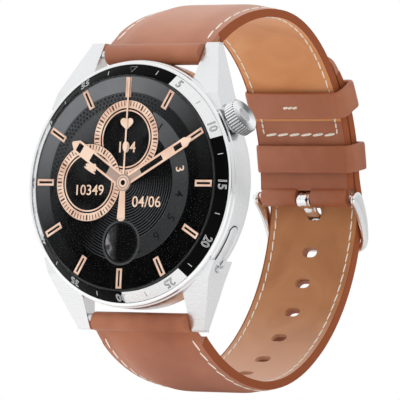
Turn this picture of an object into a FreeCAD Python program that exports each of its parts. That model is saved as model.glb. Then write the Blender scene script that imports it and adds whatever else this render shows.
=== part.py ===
"""Smartwatch on a buckled leather strap, as a parametric FreeCAD document.

Frame: millimetres. +X points to 3 o'clock, +Z to 12 o'clock and +Y out of the back
of the case, so the dial faces -Y. The origin is the centre of the sensor window's
flat outer face, the face that lies on the wrist. A "height" is a distance in front
of that face, along -Y.
"""
import FreeCAD, Part
import Sketcher
import math
import os

from FreeCAD import Vector, Rotation, Placement

DIMENSIONS = {
    # mid case, bezel and glass
    "case_radius": 22.5, "case_wall": 2.5, "case_top_height": 8.0, "case_bottom_height": 2.2,
    "case_flank_rise": 0.9, "case_bottom_step": 1.9, "case_edge_chamfer": 0.3,
    "flange_width": 1.0, "flange_thickness": 0.6, "rim_step": 0.2, "rim_rise": 0.9,
    "rim_edge": 0.25, "rim_lip": 0.7, "insert_width": 1.9, "insert_drop": 0.05,
    "insert_rise": 1.4, "insert_thickness": 0.65, "seat_width": 0.9, "glass_side_gap": 0.1,
    "glass_rise": 1.15, "glass_thickness": 0.9, "glass_edge_width": 0.7,
    "glass_edge_drop": 0.4, "gasket_width": 0.6, "assembly_gap": 0.03,
    # inside of the case
    "display_margin": 1.1, "display_thickness": 0.9, "frame_plate_thickness": 0.6,
    "frame_side_gap": 0.1, "frame_wall": 0.9, "frame_back_gap": 0.05,
    "frame_flange_thickness": 0.7, "part_gap": 0.5, "microphone_margin": 2.4,
    "battery_end_room": 5.1, "battery_board_gap": 0.51, "board_thickness": 0.8,
    "board_rise": 2.2, "board_gap": 0.2, "chip_thickness": 0.9, "motor_radius": 3.6,
    "motor_margin": 0.8, "motor_thickness": 2.8, "speaker_width": 5.6,
    "speaker_length": 9.6, "speaker_margin": 1.2, "speaker_thickness": 3.2,
    "microphone_width": 3.4, "microphone_thickness": 1.2, "speaker_slot_length": 4.0,
    "speaker_slot_width": 0.7,
    # back of the case
    "back_height": 0.9, "back_slope": 2.2, "back_plate_step": 0.4, "spigot_gap": 0.05,
    "spigot_wall": 0.75, "spigot_rise": 0.3, "window_margin": 5.4, "window_bevel": 1.5,
    "window_sink": 0.05, "window_seat_depth": 1.0, "window_ledge": 1.2,
    "back_gasket_thickness": 0.4, "screw_margin": 2.5, "screw_radius": 0.7,
    "screw_head_radius": 1.2, "screw_head_thickness": 0.7, "screw_length": 3.4,
    "boss_radius": 1.4, "sensor_board_margin": 0.7, "sensor_board_thickness": 0.5,
    "coil_thickness": 0.2, "coil_margin": 0.2, "coil_width": 4.2, "led_size": 1.6,
    "led_circle": 3.2,
    # crown
    "crown_clock": 60.0, "side_height": 5.6, "crown_radius": 3.3, "crown_stand_off": 0.75,
    "crown_length": 2.35, "crown_chamfer": 0.35, "crown_travel": 0.6, "crown_dish": 0.25,
    "crown_face_edge": 0.3, "crown_room": 0.25, "tube_radius": 1.5, "tube_bore": 1.0,
    "tube_inset": 0.8, "tube_clearance": 0.15, "stem_radius": 0.95, "stem_reach": 1.25,
    "recess_radius": 1.9, "recess_depth": 1.25, "washer_thickness": 0.2,
    "clip_overhang": 0.55, "clip_thickness": 0.25, "groove_depth": 0.3, "ring_offset": 1.8,
    "ring_width": 0.55, "crown_knurls": 36.0, "knurl_depth": 0.16,
    # side button
    "button_clock": 120.5, "button_length": 8.8, "button_width": 2.2, "button_proud": 0.15,
    "button_cap_depth": 1.2, "button_gap": 0.15, "button_travel": 0.5,
    "button_floor_gap": 0.05, "button_stem_radius": 0.7, "button_stem_reach": 0.7,
    "button_stem_fit": 0.05, "button_boss_radius": 2.0, "button_boss_depth": 1.4,
    "counterbore_width": 0.45, "counterbore_depth": 0.9, "switch_depth": 1.8,
    "switch_width": 3.4, "switch_height": 1.8, "switch_gap": 0.05, "spring_wire": 0.2,
    # lugs and spring bars
    "lug_gap": 22.4, "lug_width": 2.75, "lug_end": 2.2, "lug_tip_front_height": 3.0,
    "lug_tip_back_height": 1.35, "lug_overlap": 7.0, "lug_root_step": 0.1,
    "lug_side_inset": 1.7, "lug_side_place": 8.0, "bar_stand_off": 1.5, "bar_height": 3.4,
    "bar_radius": 0.75, "pin_radius": 0.4, "pin_fit": 0.04, "pin_reach": 1.1,
    "pin_inside": 2.6, "bar_end_gap": 0.35,
    # strap loop: both halves run round the loop's centre
    "loop_centre": 22.0, "loop_reach": 9.0, "short_depth": 27.0, "fold_over": 3.5,
    "strap_side_gap": 0.2, "strap_taper": 1.0, "taper_start": 4.0, "taper_end": 40.0,
    "strap_thickness": 1.9, "strap_padding": 0.7, "lining_thickness": 0.7,
    "layer_gap": 0.25, "roll_radius": 2.0, "lug_end_angle": 136.5, "roll_clearance": 0.3,
    "short_end_angle": 6.5, "tail_angle": 55.0, "merge_angle": 14.0,
    "hole_first_angle": -2.6, "hole_step_angle": 11.7, "hole_count": 7.0, "hole_width": 3.4,
    "hole_length": 2.0,
    # keepers
    "fixed_keeper_angle": 19.8, "loose_keeper_angle": 41.2, "keeper_width": 5.2,
    "keeper_thickness": 1.2, "keeper_fit": 0.3, "keeper_side_fit": 0.4,
    # buckle
    "bar_depth_below_loop": 0.8, "buckle_bar_place": 2.4, "fold_radius": 1.85,
    "buckle_arm": 1.5, "buckle_arm_gap": 0.5, "buckle_reach": 11.6, "buckle_tilt": 28.5,
    "buckle_thickness": 1.8, "buckle_end_bar": 2.0, "buckle_corner": 2.6,
    "tongue_width": 2.2, "tongue_thickness": 1.2, "tongue_ring": 0.9, "notch_width": 3.2,
    "notch_top": 4.6, "tongue_clearance": 0.3,
}
# Sizes that follow from the ones above, so that joined pieces keep together.
RULES = {
    "case_inner_radius": "case_radius - case_wall",
    "case_bottom_radius": "case_radius - case_bottom_step",
    "case_flank_bottom_height": "case_bottom_height + case_flank_rise",
    "flange_radius": "case_inner_radius - flange_width",
    "rim_radius": "case_radius - rim_step",
    "rim_height": "case_top_height + rim_rise",
    "insert_outer_radius": "rim_radius - rim_lip",
    "insert_inner_radius": "insert_outer_radius - insert_width",
    "insert_outer_height": "rim_height - insert_drop",
    "insert_inner_height": "insert_outer_height + insert_rise",
    "seat_radius": "insert_inner_radius - seat_width",
    "glass_radius": "insert_inner_radius - glass_side_gap",
    "glass_height": "insert_inner_height + glass_rise",
    "glass_edge_radius": "glass_radius - glass_edge_width",
    "display_radius": "glass_radius - display_margin",
    "frame_wall_radius": "flange_radius - frame_side_gap",
    "back_inner_height": "case_bottom_height + back_plate_step",
    "frame_bottom_height": "back_inner_height + frame_back_gap",
    "screw_circle_radius": "frame_wall_radius - screw_margin",
    "board_radius": "screw_circle_radius - boss_radius - board_gap",
    "board_height": "back_inner_height + board_rise",
    "frame_plate_back_height": "glass_height - glass_thickness - display_thickness"
                               " - frame_plate_thickness - assembly_gap * 2",
    "battery_thickness": "frame_plate_back_height - assembly_gap - battery_board_gap"
                         " - board_height",
    "motor_place": "frame_wall_radius - frame_wall - motor_margin - motor_radius",
    "battery_width": "(motor_place - motor_radius - part_gap) * 2",
    "speaker_place": "frame_wall_radius - frame_wall - speaker_margin - speaker_width / 2",
    "microphone_place": "frame_wall_radius - frame_wall - microphone_margin",
    "battery_length": "(microphone_place - battery_end_room) * 2",
    "back_flat_radius": "case_bottom_radius - back_slope",
    "back_spigot_radius": "case_inner_radius - spigot_gap",
    "back_spigot_inner_radius": "back_spigot_radius - spigot_wall",
    "back_spigot_height": "back_inner_height + spigot_rise",
    "back_gasket_height": "back_spigot_height + back_gasket_thickness",
    "window_radius": "back_flat_radius - window_margin",
    "window_flat_radius": "window_radius - window_bevel",
    "window_edge_height": "back_height - window_sink",
    "window_seat_height": "back_height + window_seat_depth",
    "window_ledge_radius": "window_radius - window_ledge",
    "sensor_board_radius": "window_flat_radius - sensor_board_margin",
    "coil_outer_radius": "sensor_board_radius - coil_margin",
    "coil_inner_radius": "coil_outer_radius - coil_width",
    "crown_start": "case_radius + crown_stand_off",
    "tube_start": "case_inner_radius - tube_inset",
    "tube_end": "crown_start - tube_clearance",
    "stem_start": "tube_start - stem_reach",
    "recess_end": "crown_start + recess_depth",
    "clip_radius": "stem_radius + clip_overhang",
    "groove_radius": "stem_radius - groove_depth",
    "ring_place": "tube_start + ring_offset",
    "button_radius": "case_radius + button_proud",
    "button_start": "button_radius - button_cap_depth",
    "pocket_floor": "button_start - button_travel - button_floor_gap",
    "counterbore_floor": "pocket_floor - counterbore_depth",
    "button_bore": "button_stem_radius + button_stem_fit",
    "counterbore_radius": "button_bore + counterbore_width",
    "button_boss_start": "case_inner_radius - button_boss_depth",
    "button_stem_start": "button_boss_start - button_stem_reach",
    "bar_place": "case_radius + bar_stand_off",
    "lug_tip": "bar_place + lug_end",
    "lug_root": "case_radius - lug_overlap",
    "lug_root_front_height": "case_top_height - lug_root_step",
    "lug_side": "case_radius - lug_side_inset",
    "loop_half_height": "bar_place + loop_reach",
    "long_depth": "short_depth + fold_over",
    "strap_lug_width": "lug_gap - strap_side_gap * 2",
    "strap_end_width": "strap_lug_width - strap_taper * 2",
    "strap_lug_thickness": "strap_thickness + strap_padding",
    "buckle_bar_depth": "loop_centre + short_depth + bar_depth_below_loop",
}

doc = FreeCAD.newDocument("smartwatch")
sheet = doc.addObject("Spreadsheet::Sheet", "sizes")
cells = [(alias, str(number)) for alias, number in DIMENSIONS.items()]
cells += [(alias, f"={rule}") for alias, rule in RULES.items()]
for row, (alias, content) in enumerate(cells, start=1):
    sheet.set(f"A{row}", alias)
    sheet.set(f"B{row}", content)
    sheet.setAlias(f"B{row}", alias)
doc.recompute()


class Size:
    """A length worked out from the sheet: its expression and its present value."""

    def __init__(self, text, value):
        self.text = text
        self.value = value

    def join(self, other, sign, value):
        return Size(f"({self.text} {sign} {as_size(other).text})", value)

    def __add__(self, other):
        return self.join(other, "+", self.value + as_size(other).value)

    def __sub__(self, other):
        return self.join(other, "-", self.value - as_size(other).value)

    def __mul__(self, other):
        return self.join(other, "*", self.value * as_size(other).value)

    def __truediv__(self, other):
        return self.join(other, "/", self.value / as_size(other).value)

    def __neg__(self):
        return Size(f"(-1 * {self.text})", -self.value)


def as_size(number):
    return number if isinstance(number, Size) else Size(repr(float(number)), float(number))


def named(alias):
    return Size(f"sizes.{alias}", float(sheet.get(alias)))


D = {alias: named(alias) for alias, content in cells}
NUM = {alias: D[alias].value for alias in D}
X_AXIS, Y_AXIS, Z_AXIS = Vector(1, 0, 0), Vector(0, 1, 0), Vector(0, 0, 1)
PIECES = []


def bind(item, prop, size):
    item.setExpression(prop, as_size(size).text)


def place(item, x=0, y=0, z=0, axis=Z_AXIS, angle=0):
    item.Placement = Placement(Vector(0, 0, 0), Rotation(axis, as_size(angle).value))
    for name, size in (("x", x), ("y", y), ("z", z)):
        bind(item, f"Placement.Base.{name}", size)
    if isinstance(angle, Size):
        bind(item, "Placement.Rotation.Angle", angle)
    return item


def piece(item, label):
    item.Label = label
    PIECES.append(item)
    return item


def point_constraints(sketch, line, corner):
    """Ties the start of a line to its two distances from the sketch's origin."""
    for kind, size, axis in (("DistanceX", corner[0], -2), ("DistanceY", corner[1], -1)):
        size = as_size(size)
        if size.value == 0:
            sketch.addConstraint(Sketcher.Constraint("PointOnObject", line, 1, axis))
        else:
            at = sketch.addConstraint(Sketcher.Constraint(kind, -1, 1, line, 1, size.value))
            sketch.setExpression(f"Constraints[{at}]", size.text)


def outline(sketch, corners):
    count = len(corners)
    points = [Vector(as_size(x).value, as_size(y).value, 0) for x, y in corners]
    lines = [sketch.addGeometry(Part.LineSegment(points[i], points[(i + 1) % count]), False)
             for i in range(count)]
    for i in range(count):
        sketch.addConstraint(
            Sketcher.Constraint("Coincident", lines[i], 2, lines[(i + 1) % count], 1))
    for line, corner in zip(lines, corners):
        point_constraints(sketch, line, corner)


def body_sketch(body, role, corners):
    plane = [f for f in body.Origin.OriginFeatures if f.Role == role][0]
    sketch = body.newObject("Sketcher::SketchObject", f"{body.Name}_outline")
    sketch.AttachmentSupport = [(plane, "")]
    sketch.MapMode = "FlatFace"
    outline(sketch, corners)
    return sketch


def turned(label, corners):
    """A body turned about Y from (radius, y) corners."""
    body = doc.addObject("PartDesign::Body", label)
    sketch = body_sketch(body, "XY_Plane", corners)
    turn = body.newObject("PartDesign::Revolution", f"{label}_turn")
    turn.Profile = sketch
    turn.ReferenceAxis = (sketch, ["V_Axis"])
    turn.Angle = 360
    sketch.Visibility = False
    return body


def radial_turned(label, corners):
    """A body turned about Z from (radius, z) corners, for pieces that point outwards."""
    body = doc.addObject("PartDesign::Body", label)
    sketch = body_sketch(body, "XZ_Plane", corners)
    turn = body.newObject("PartDesign::Revolution", f"{label}_turn")
    turn.Profile = sketch
    turn.ReferenceAxis = (sketch, ["V_Axis"])
    turn.Angle = 360
    return body


def ring(label, inner, outer, back, front):
    """A plain ring about Y between two heights."""
    return turned(label, [(inner, -back), (outer, -back), (outer, -front), (inner, -front)])


def radial_ring(label, inner, outer, start, end):
    return radial_turned(label, [(inner, start), (outer, start), (outer, end), (inner, end)])


def box(name, width, depth, length):
    item = doc.addObject("Part::Box", name)
    for prop, size in (("Length", width), ("Width", depth), ("Height", length)):
        bind(item, prop, size)
    return item


def cylinder(name, radius, length):
    item = doc.addObject("Part::Cylinder", name)
    bind(item, "Radius", radius)
    bind(item, "Height", length)
    return item


def fuse(name, items):
    item = doc.addObject("Part::MultiFuse", name)
    item.Shapes = items
    return item


def cut(name, base, tools):
    item = doc.addObject("Part::Cut", name)
    item.Base = base
    item.Tool = tools[0] if len(tools) == 1 else fuse(f"{name}_tools", tools)
    return item


def common(name, items):
    item = doc.addObject("Part::MultiCommon", name)
    item.Shapes = items
    return item


def mirror(name, source, normal):
    item = doc.addObject("Part::Mirroring", name)
    item.Source = source
    item.Normal = normal
    return item


def group(name, items):
    item = doc.addObject("Part::Compound", name)
    item.Links = items
    return item


def prism(name, axis, corners, start, length):
    """An outline in a plane across X, Y or Z, drawn as a solid along that axis."""
    turns = {"X": Rotation(Vector(1, 1, 1), 120), "Y": Rotation(X_AXIS, 90), "Z": Rotation()}
    sketch = doc.addObject("Sketcher::SketchObject", f"{name}_outline")
    sketch.Placement = Placement(Vector(0, 0, 0), turns[axis])
    outline(sketch, corners)
    low = {"X": "x", "Y": "y", "Z": "z"}[axis]
    bind(sketch, f"Placement.Base.{low}", start)
    item = doc.addObject("Part::Extrusion", name)
    item.Base = sketch
    item.DirMode = "Normal"
    item.Solid = True
    item.Reversed = axis == "Y"
    bind(item, "LengthFwd", length)
    return item


def radial_cylinder(name, radius, start, end):
    """A cylinder along Z between two distances from the watch's axis."""
    rod = cylinder(f"{name}_rod", radius, end - start)
    return group(name, [place(rod, z=start)])


def aim(item, clock):
    """Points a piece modelled along Z outwards at a place on the clock face."""
    return place(item, y=-D["side_height"], axis=Y_AXIS, angle=D[clock])


def pill(name, length, width, start, end):
    """A flat slot shape with round ends, long across X, drawn along Z."""
    middle = box(f"{name}_middle", length - width, width, end - start)
    place(middle, x=-(length - width) / 2, y=-width / 2, z=start)
    ends = []
    for side in (-1, 1):
        turn = cylinder(f"{name}_end", width / 2, end - start)
        ends.append(place(turn, x=(length - width) / 2 * side, z=start))
    return fuse(name, [middle] + ends)


def solid_piece(label, shape):
    item = doc.addObject("Part::Feature", label)
    item.Shape = shape
    item.Placement = Placement()
    return piece(item, label)


def coil_spring(radius, start, end, turns, wire):
    """A helical spring along Z; its ends stop short of its seats by half a wire."""
    low = start + wire * 0.6
    high = end - wire * 0.6
    helix = Part.makeHelix((high - low) / turns, high - low, radius)
    helix.translate(Vector(0, 0, low))
    section = Part.Wire(Part.makeCircle(wire / 2, Vector(radius, 0, low), Y_AXIS))
    return Part.Wire(helix.Edges).makePipeShell([section], True, True)


# --- case, bezel and glass -------------------------------------------------------------

def lug_pair():
    """One lug at 12 o'clock on the +X side, from its side view and its plan."""
    root = D["lug_root"]
    side = prism("lug_side_view", "X", [
        (-D["case_top_height"], root - 2), (-D["lug_root_front_height"], root + 1),
        (-D["lug_tip_front_height"], D["lug_tip"] - 0.3),
        (-D["lug_tip_front_height"] + 0.3, D["lug_tip"]),
        (-D["lug_tip_back_height"], D["lug_tip"]), (-D["case_bottom_height"], root + 2),
        (-D["case_bottom_height"], root - 2)], D["lug_gap"] / 2, D["lug_side"])
    inner = D["lug_gap"] / 2
    plan = prism("lug_plan", "Y", [
        (inner, root - 2), (inner, D["lug_tip"] + 1), (inner + D["lug_width"], D["lug_tip"] + 1),
        (inner + D["lug_width"], D["lug_tip"] - 0.4), (inner + D["lug_width"] * 1.85, root + 4.5),
        (D["lug_side"], D["lug_side_place"]), (inner, D["lug_side_place"])],
        -D["case_top_height"], D["case_top_height"])
    return common("lug", [side, plan])


def make_mid_case():
    wall = turned("case_wall", [
        (D["case_inner_radius"], -D["case_bottom_height"]),
        (D["case_bottom_radius"], -D["case_bottom_height"]),
        (D["case_radius"], -D["case_flank_bottom_height"]),
        (D["case_radius"], -D["case_top_height"] + D["case_edge_chamfer"]),
        (D["case_radius"] - D["case_edge_chamfer"], -D["case_top_height"]),
        (D["flange_radius"], -D["case_top_height"]),
        (D["flange_radius"], -D["case_top_height"] + D["flange_thickness"]),
        (D["case_inner_radius"], -D["case_top_height"] + D["flange_thickness"])])
    lug = lug_pair()
    left = mirror("lug_left", lug, X_AXIS)
    lugs = [lug, left, mirror("lug_low", lug, Z_AXIS), mirror("lug_low_left", left, Z_AXIS)]
    cavity = cylinder("lug_cavity", D["case_inner_radius"], D["case_top_height"])
    place(cavity, axis=X_AXIS, angle=90)
    hollow_lugs = cut("lugs_outside", fuse("lugs", lugs), [cavity])
    boss = aim(radial_cylinder("button_boss", D["button_boss_radius"], D["button_boss_start"],
                               D["case_inner_radius"] + 0.4), "button_clock")
    solid = fuse("case_solid", [wall, hollow_lugs, boss])
    pocket = aim(pill("button_pocket", D["button_length"] + D["button_gap"] * 2,
                      D["button_width"] + D["button_gap"] * 2, D["pocket_floor"],
                      D["case_radius"] + 2), "button_clock")
    counterbore = aim(radial_cylinder("button_counterbore", D["counterbore_radius"],
                                      D["counterbore_floor"], D["pocket_floor"] + 0.1),
                      "button_clock")
    bore = aim(radial_cylinder("button_bore_tool", D["button_bore"],
                               D["button_boss_start"] - 1, D["pocket_floor"]), "button_clock")
    tube = aim(radial_cylinder("crown_bore_tool", D["tube_radius"] + D["assembly_gap"] / 2,
                               D["case_inner_radius"] - 1, D["case_radius"] + 1),
               "crown_clock")
    crown_room = aim(radial_cylinder(
        "crown_room", D["crown_radius"] + D["crown_room"],
        D["crown_start"] - D["crown_travel"] - D["switch_gap"] * 2,
        D["crown_start"] + D["crown_length"] * 2), "crown_clock")
    slot = pill("speaker_slot", D["speaker_slot_length"], D["speaker_slot_width"],
                D["case_inner_radius"] - 1, D["case_radius"] + 1)
    place(slot, y=-D["side_height"], axis=Y_AXIS, angle=-90)
    pin_hole = D["pin_radius"] + D["pin_fit"]
    pins = []
    for end in (-1, 1):
        pin = cylinder("pin_hole", pin_hole, D["lug_gap"] + D["pin_reach"] * 2 + 0.4)
        place(pin, x=-D["lug_gap"] / 2 - D["pin_reach"] - 0.2, y=-D["bar_height"],
              z=D["bar_place"] * end, axis=Y_AXIS, angle=90)
        pins.append(pin)
    tools = [pocket, counterbore, bore, tube, crown_room, slot] + pins
    return piece(cut("mid_case", solid, tools), "mid_case")


def make_bezel_and_glass():
    gap = D["assembly_gap"]
    outer, inner = D["insert_outer_radius"], D["insert_inner_radius"]
    low, high = D["insert_outer_height"], D["insert_inner_height"]
    thick = D["insert_thickness"]
    piece(turned("bezel_rim", [
        (D["seat_radius"], -D["case_top_height"]), (D["rim_radius"], -D["case_top_height"]),
        (D["rim_radius"], -D["rim_height"] + D["rim_edge"]),
        (D["rim_radius"] - D["rim_edge"], -D["rim_height"]),
        (outer + gap, -D["rim_height"]), (outer + gap, -low + thick + gap),
        (inner, -high + thick + gap), (D["seat_radius"], -high + thick + gap)]), "bezel_rim")
    piece(turned("bezel_insert", [
        (inner, -high), (inner, -high + thick), (outer, -low + thick), (outer, -low)]),
        "bezel_insert")
    glass_back = D["glass_height"] - D["glass_thickness"]
    piece(turned("cover_glass", [
        (0, -D["glass_height"]), (D["glass_edge_radius"], -D["glass_height"]),
        (D["glass_radius"], -D["glass_height"] + D["glass_edge_drop"]),
        (D["glass_radius"], -glass_back), (0, -glass_back)]), "cover_glass")
    piece(ring("glass_gasket", D["glass_radius"] - D["gasket_width"], D["glass_radius"],
               high - thick, glass_back - gap), "glass_gasket")
    display_front = glass_back - gap
    piece(ring("display_panel", 0, D["display_radius"],
               display_front - D["display_thickness"], display_front), "display_panel")


def corner_set(name, radius, back, front, circle):
    """Four cylinders along Y, between the clock's quarters, at one radius."""
    items = []
    for sx in (-1, 1):
        for sz in (-1, 1):
            rod = cylinder(f"{name}_rod", radius, front - back)
            place(rod, x=circle * 0.5 ** 0.5 * sx, y=-back, z=circle * 0.5 ** 0.5 * sz,
                  axis=X_AXIS, angle=90)
            items.append(rod)
    return items


def make_inside():
    gap = D["assembly_gap"]
    plate_front = (D["glass_height"] - D["glass_thickness"] - D["display_thickness"] - gap * 2)
    plate_back = plate_front - D["frame_plate_thickness"]
    wall_in = D["frame_wall_radius"] - D["frame_wall"]
    flange_front = D["case_top_height"] - D["flange_thickness"] - gap
    frame = turned("frame_shell", [
        (0, -plate_front), (wall_in + 0.1, -plate_front), (D["frame_wall_radius"], -flange_front),
        (D["case_inner_radius"] - gap, -flange_front),
        (D["case_inner_radius"] - gap, -flange_front + D["frame_flange_thickness"]),
        (D["frame_wall_radius"], -flange_front + D["frame_flange_thickness"]),
        (D["frame_wall_radius"], -D["frame_bottom_height"]),
        (wall_in, -D["frame_bottom_height"]), (wall_in, -plate_back), (0, -plate_back)])
    bosses = corner_set("frame_boss", D["boss_radius"], D["frame_bottom_height"],
                        plate_front - 0.2, D["screw_circle_radius"])
    holes = corner_set("frame_hole", D["screw_radius"] + gap, D["frame_bottom_height"] - 1,
                       D["back_height"] + D["screw_length"] + 0.3, D["screw_circle_radius"])
    doors = []
    for clock, width in (("crown_clock", D["tube_radius"]),
                         ("button_clock", D["button_boss_radius"])):
        door = box("frame_door", width * 2 + 1, width * 2 + 1,
                   D["case_inner_radius"] + 1 - D["frame_wall_radius"] + 3)
        place(door, x=-width - 0.5, y=-width - 0.5, z=D["frame_wall_radius"] - 3)
        doors.append(aim(group("frame_doorway", [door]), clock))
    shell = cut("frame_cut", fuse("frame_body", [frame] + bosses), holes + doors)
    piece(shell, "inner_frame")
    room = plate_back - gap

    def block(label, width, length, thick, x, z, front=room):
        item = box(label, width, thick, length)
        return piece(place(item, x=x - width / 2, y=-front, z=z - length / 2), label)

    block("battery", D["battery_width"], D["battery_length"], D["battery_thickness"],
          as_size(0), as_size(0))
    block("speaker", D["speaker_width"], D["speaker_length"], D["speaker_thickness"],
          -D["speaker_place"], as_size(0))
    block("microphone", D["microphone_width"], D["microphone_width"] * 0.8,
          D["microphone_thickness"], as_size(0), -D["microphone_place"])
    motor = cylinder("vibration_motor", D["motor_radius"], D["motor_thickness"])
    place(motor, x=D["motor_place"], y=-room + D["motor_thickness"], axis=X_AXIS, angle=90)
    piece(motor, "vibration_motor")
    board_back = D["board_height"] - D["board_thickness"]
    piece(ring("main_board", 0, D["board_radius"], board_back, D["board_height"]), "main_board")
    chips = []
    for number, (width, length, x, z) in enumerate((
            (0.6, 0.6, -0.24, 0.28), (0.4, 0.34, 0.5, 0.38), (0.48, 0.28, 0.2, -0.5))):
        unit = D["board_radius"]
        chip = box(f"chip_{number}", unit * width, D["chip_thickness"], unit * length)
        chips.append(place(chip, x=unit * (x - width / 2), y=-board_back + gap,
                           z=unit * (z - length / 2)))
    piece(group("processor_chips", chips), "processor_chips")


def make_back():
    gap = D["assembly_gap"]
    window_edge = D["window_radius"] + gap
    seat = D["window_seat_height"] + gap
    cover = turned("back_shell", [
        (D["window_ledge_radius"], -seat), (window_edge, -seat), (window_edge, -D["back_height"]),
        (D["back_flat_radius"], -D["back_height"]),
        (D["case_bottom_radius"], -D["case_bottom_height"] + gap),
        (D["back_spigot_radius"], -D["case_bottom_height"] + gap),
        (D["back_spigot_radius"], -D["back_spigot_height"]),
        (D["back_spigot_inner_radius"], -D["back_spigot_height"]),
        (D["back_spigot_inner_radius"], -D["back_inner_height"]),
        (D["window_ledge_radius"], -D["back_inner_height"])])
    circle = D["screw_circle_radius"]
    holes = corner_set("back_hole", D["screw_radius"] + gap, D["back_height"] - 1,
                       D["back_inner_height"] + 1, circle)
    sinks = corner_set("back_sink", D["screw_head_radius"] + gap, D["back_height"] - 1,
                       D["back_height"] + D["screw_head_thickness"] + gap, circle)
    piece(cut("back_cut", cover, holes + sinks), "case_back")
    heads = corner_set("screw_head", D["screw_head_radius"], D["back_height"] + gap,
                       D["back_height"] + D["screw_head_thickness"], circle)
    shanks = corner_set("screw_shank", D["screw_radius"], D["back_height"] + 0.1,
                        D["back_height"] + D["screw_length"], circle)
    screws = [fuse("back_screw", [head, shank]) for head, shank in zip(heads, shanks)]
    piece(group("screw_set", screws), "back_screws")
    piece(ring("back_gasket", D["back_spigot_inner_radius"] + gap, D["back_spigot_radius"],
               D["back_spigot_height"] + gap, D["back_gasket_height"]), "back_gasket")
    piece(turned("sensor_window", [
        (0, 0), (D["window_flat_radius"], 0), (D["window_radius"], -D["window_edge_height"]),
        (D["window_radius"], -D["window_seat_height"]), (0, -D["window_seat_height"])]),
        "sensor_window")
    coil_back = D["window_seat_height"] + gap
    coil_front = coil_back + D["coil_thickness"]
    piece(ring("charging_coil", D["coil_inner_radius"], D["coil_outer_radius"], coil_back,
               coil_front), "charging_coil")
    board = ring("sensor_plate", 0, D["sensor_board_radius"], coil_front + gap,
                 coil_front + gap + D["sensor_board_thickness"])
    lights = []
    for x, z in ((0, 0), (1, 0), (-1, 0), (0, 1), (0, -1)):
        light = box("led", D["led_size"], D["coil_thickness"], D["led_size"])
        place(light, x=D["led_circle"] * x - D["led_size"] / 2, y=-coil_front - gap,
              z=D["led_circle"] * z - D["led_size"] / 2)
        lights.append(light)
    piece(fuse("sensor_parts", [board] + lights), "sensor_board")


# --- crown and side button -------------------------------------------------------------

def make_crown():
    gap = D["assembly_gap"]
    end = D["crown_start"] + D["crown_length"]
    edge = D["crown_radius"] - D["crown_chamfer"]
    ring_top = D["ring_place"] + D["ring_width"] + gap * 2
    clip_top = D["tube_start"] - D["switch_gap"]
    clip_low = clip_top - D["clip_thickness"]
    head = radial_turned("crown_turned", [
        (0, D["stem_start"]), (D["stem_radius"], D["stem_start"]),
        (D["stem_radius"], clip_low - gap), (D["groove_radius"], clip_low - gap),
        (D["groove_radius"], clip_top + gap), (D["stem_radius"], clip_top + gap),
        (D["stem_radius"], D["ring_place"]), (D["groove_radius"], D["ring_place"]),
        (D["groove_radius"], ring_top), (D["stem_radius"], ring_top),
        (D["stem_radius"], D["recess_end"]), (D["recess_radius"], D["recess_end"]),
        (D["recess_radius"], D["crown_start"]), (edge, D["crown_start"]),
        (D["crown_radius"], D["crown_start"] + D["crown_chamfer"]),
        (D["crown_radius"], end - D["crown_chamfer"]), (edge, end),
        (edge - D["crown_face_edge"], end), (0, end - D["crown_dish"])])
    knurls = []
    count = int(D["crown_knurls"].value)
    for number in range(count):
        turn = math.radians(360.0 * number / count)
        knurl = cylinder("knurl", D["knurl_depth"] * 1.4, D["crown_length"] + 1)
        place(knurl, x=(D["crown_radius"] + D["knurl_depth"] * 0.4) * math.cos(turn),
              y=(D["crown_radius"] + D["knurl_depth"] * 0.4) * math.sin(turn),
              z=D["crown_start"] - 0.5)
        knurls.append(knurl)
    piece(aim(cut("crown_cut", head, [group("knurls", knurls)]), "crown_clock"), "crown")
    piece(aim(radial_ring("crown_tube_body", D["tube_bore"], D["tube_radius"], D["tube_start"],
                          D["tube_end"]), "crown_clock"), "crown_tube")
    piece(aim(radial_ring("crown_ring_body", D["groove_radius"] + gap / 3, D["stem_radius"],
                          D["ring_place"] + gap, ring_top - gap), "crown_clock"), "crown_o_ring")
    piece(aim(radial_ring("crown_clip_body", D["groove_radius"] + gap / 3, D["clip_radius"],
                          clip_low, clip_top), "crown_clock"), "crown_clip")
    washer_low = D["recess_end"] - D["washer_thickness"] - gap
    piece(aim(radial_ring("crown_washer_body", D["stem_radius"] + gap, D["recess_radius"] - 0.1,
                          washer_low, D["recess_end"] - gap), "crown_clock"), "crown_washer")
    spring = coil_spring((NUM["tube_bore"] + NUM["tube_radius"]) / 2, NUM["tube_end"],
                         washer_low.value, 2.25, NUM["spring_wire"])
    aim(solid_piece("crown_spring", spring), "crown_clock")
    make_switch("crown", D["stem_start"] - D["crown_travel"] - D["switch_gap"])


def make_switch(name, top):
    """A push switch on the main board whose plunger side faces the stem."""
    switch = box(f"{name}_switch_case", D["switch_width"], D["switch_height"], D["switch_depth"])
    place(switch, x=-D["switch_width"] / 2, y=-(D["switch_height"] / 2), z=top - D["switch_depth"])
    piece(aim(group(f"{name}_switch_part", [switch]), f"{name}_clock"), f"{name}_switch")


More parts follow.
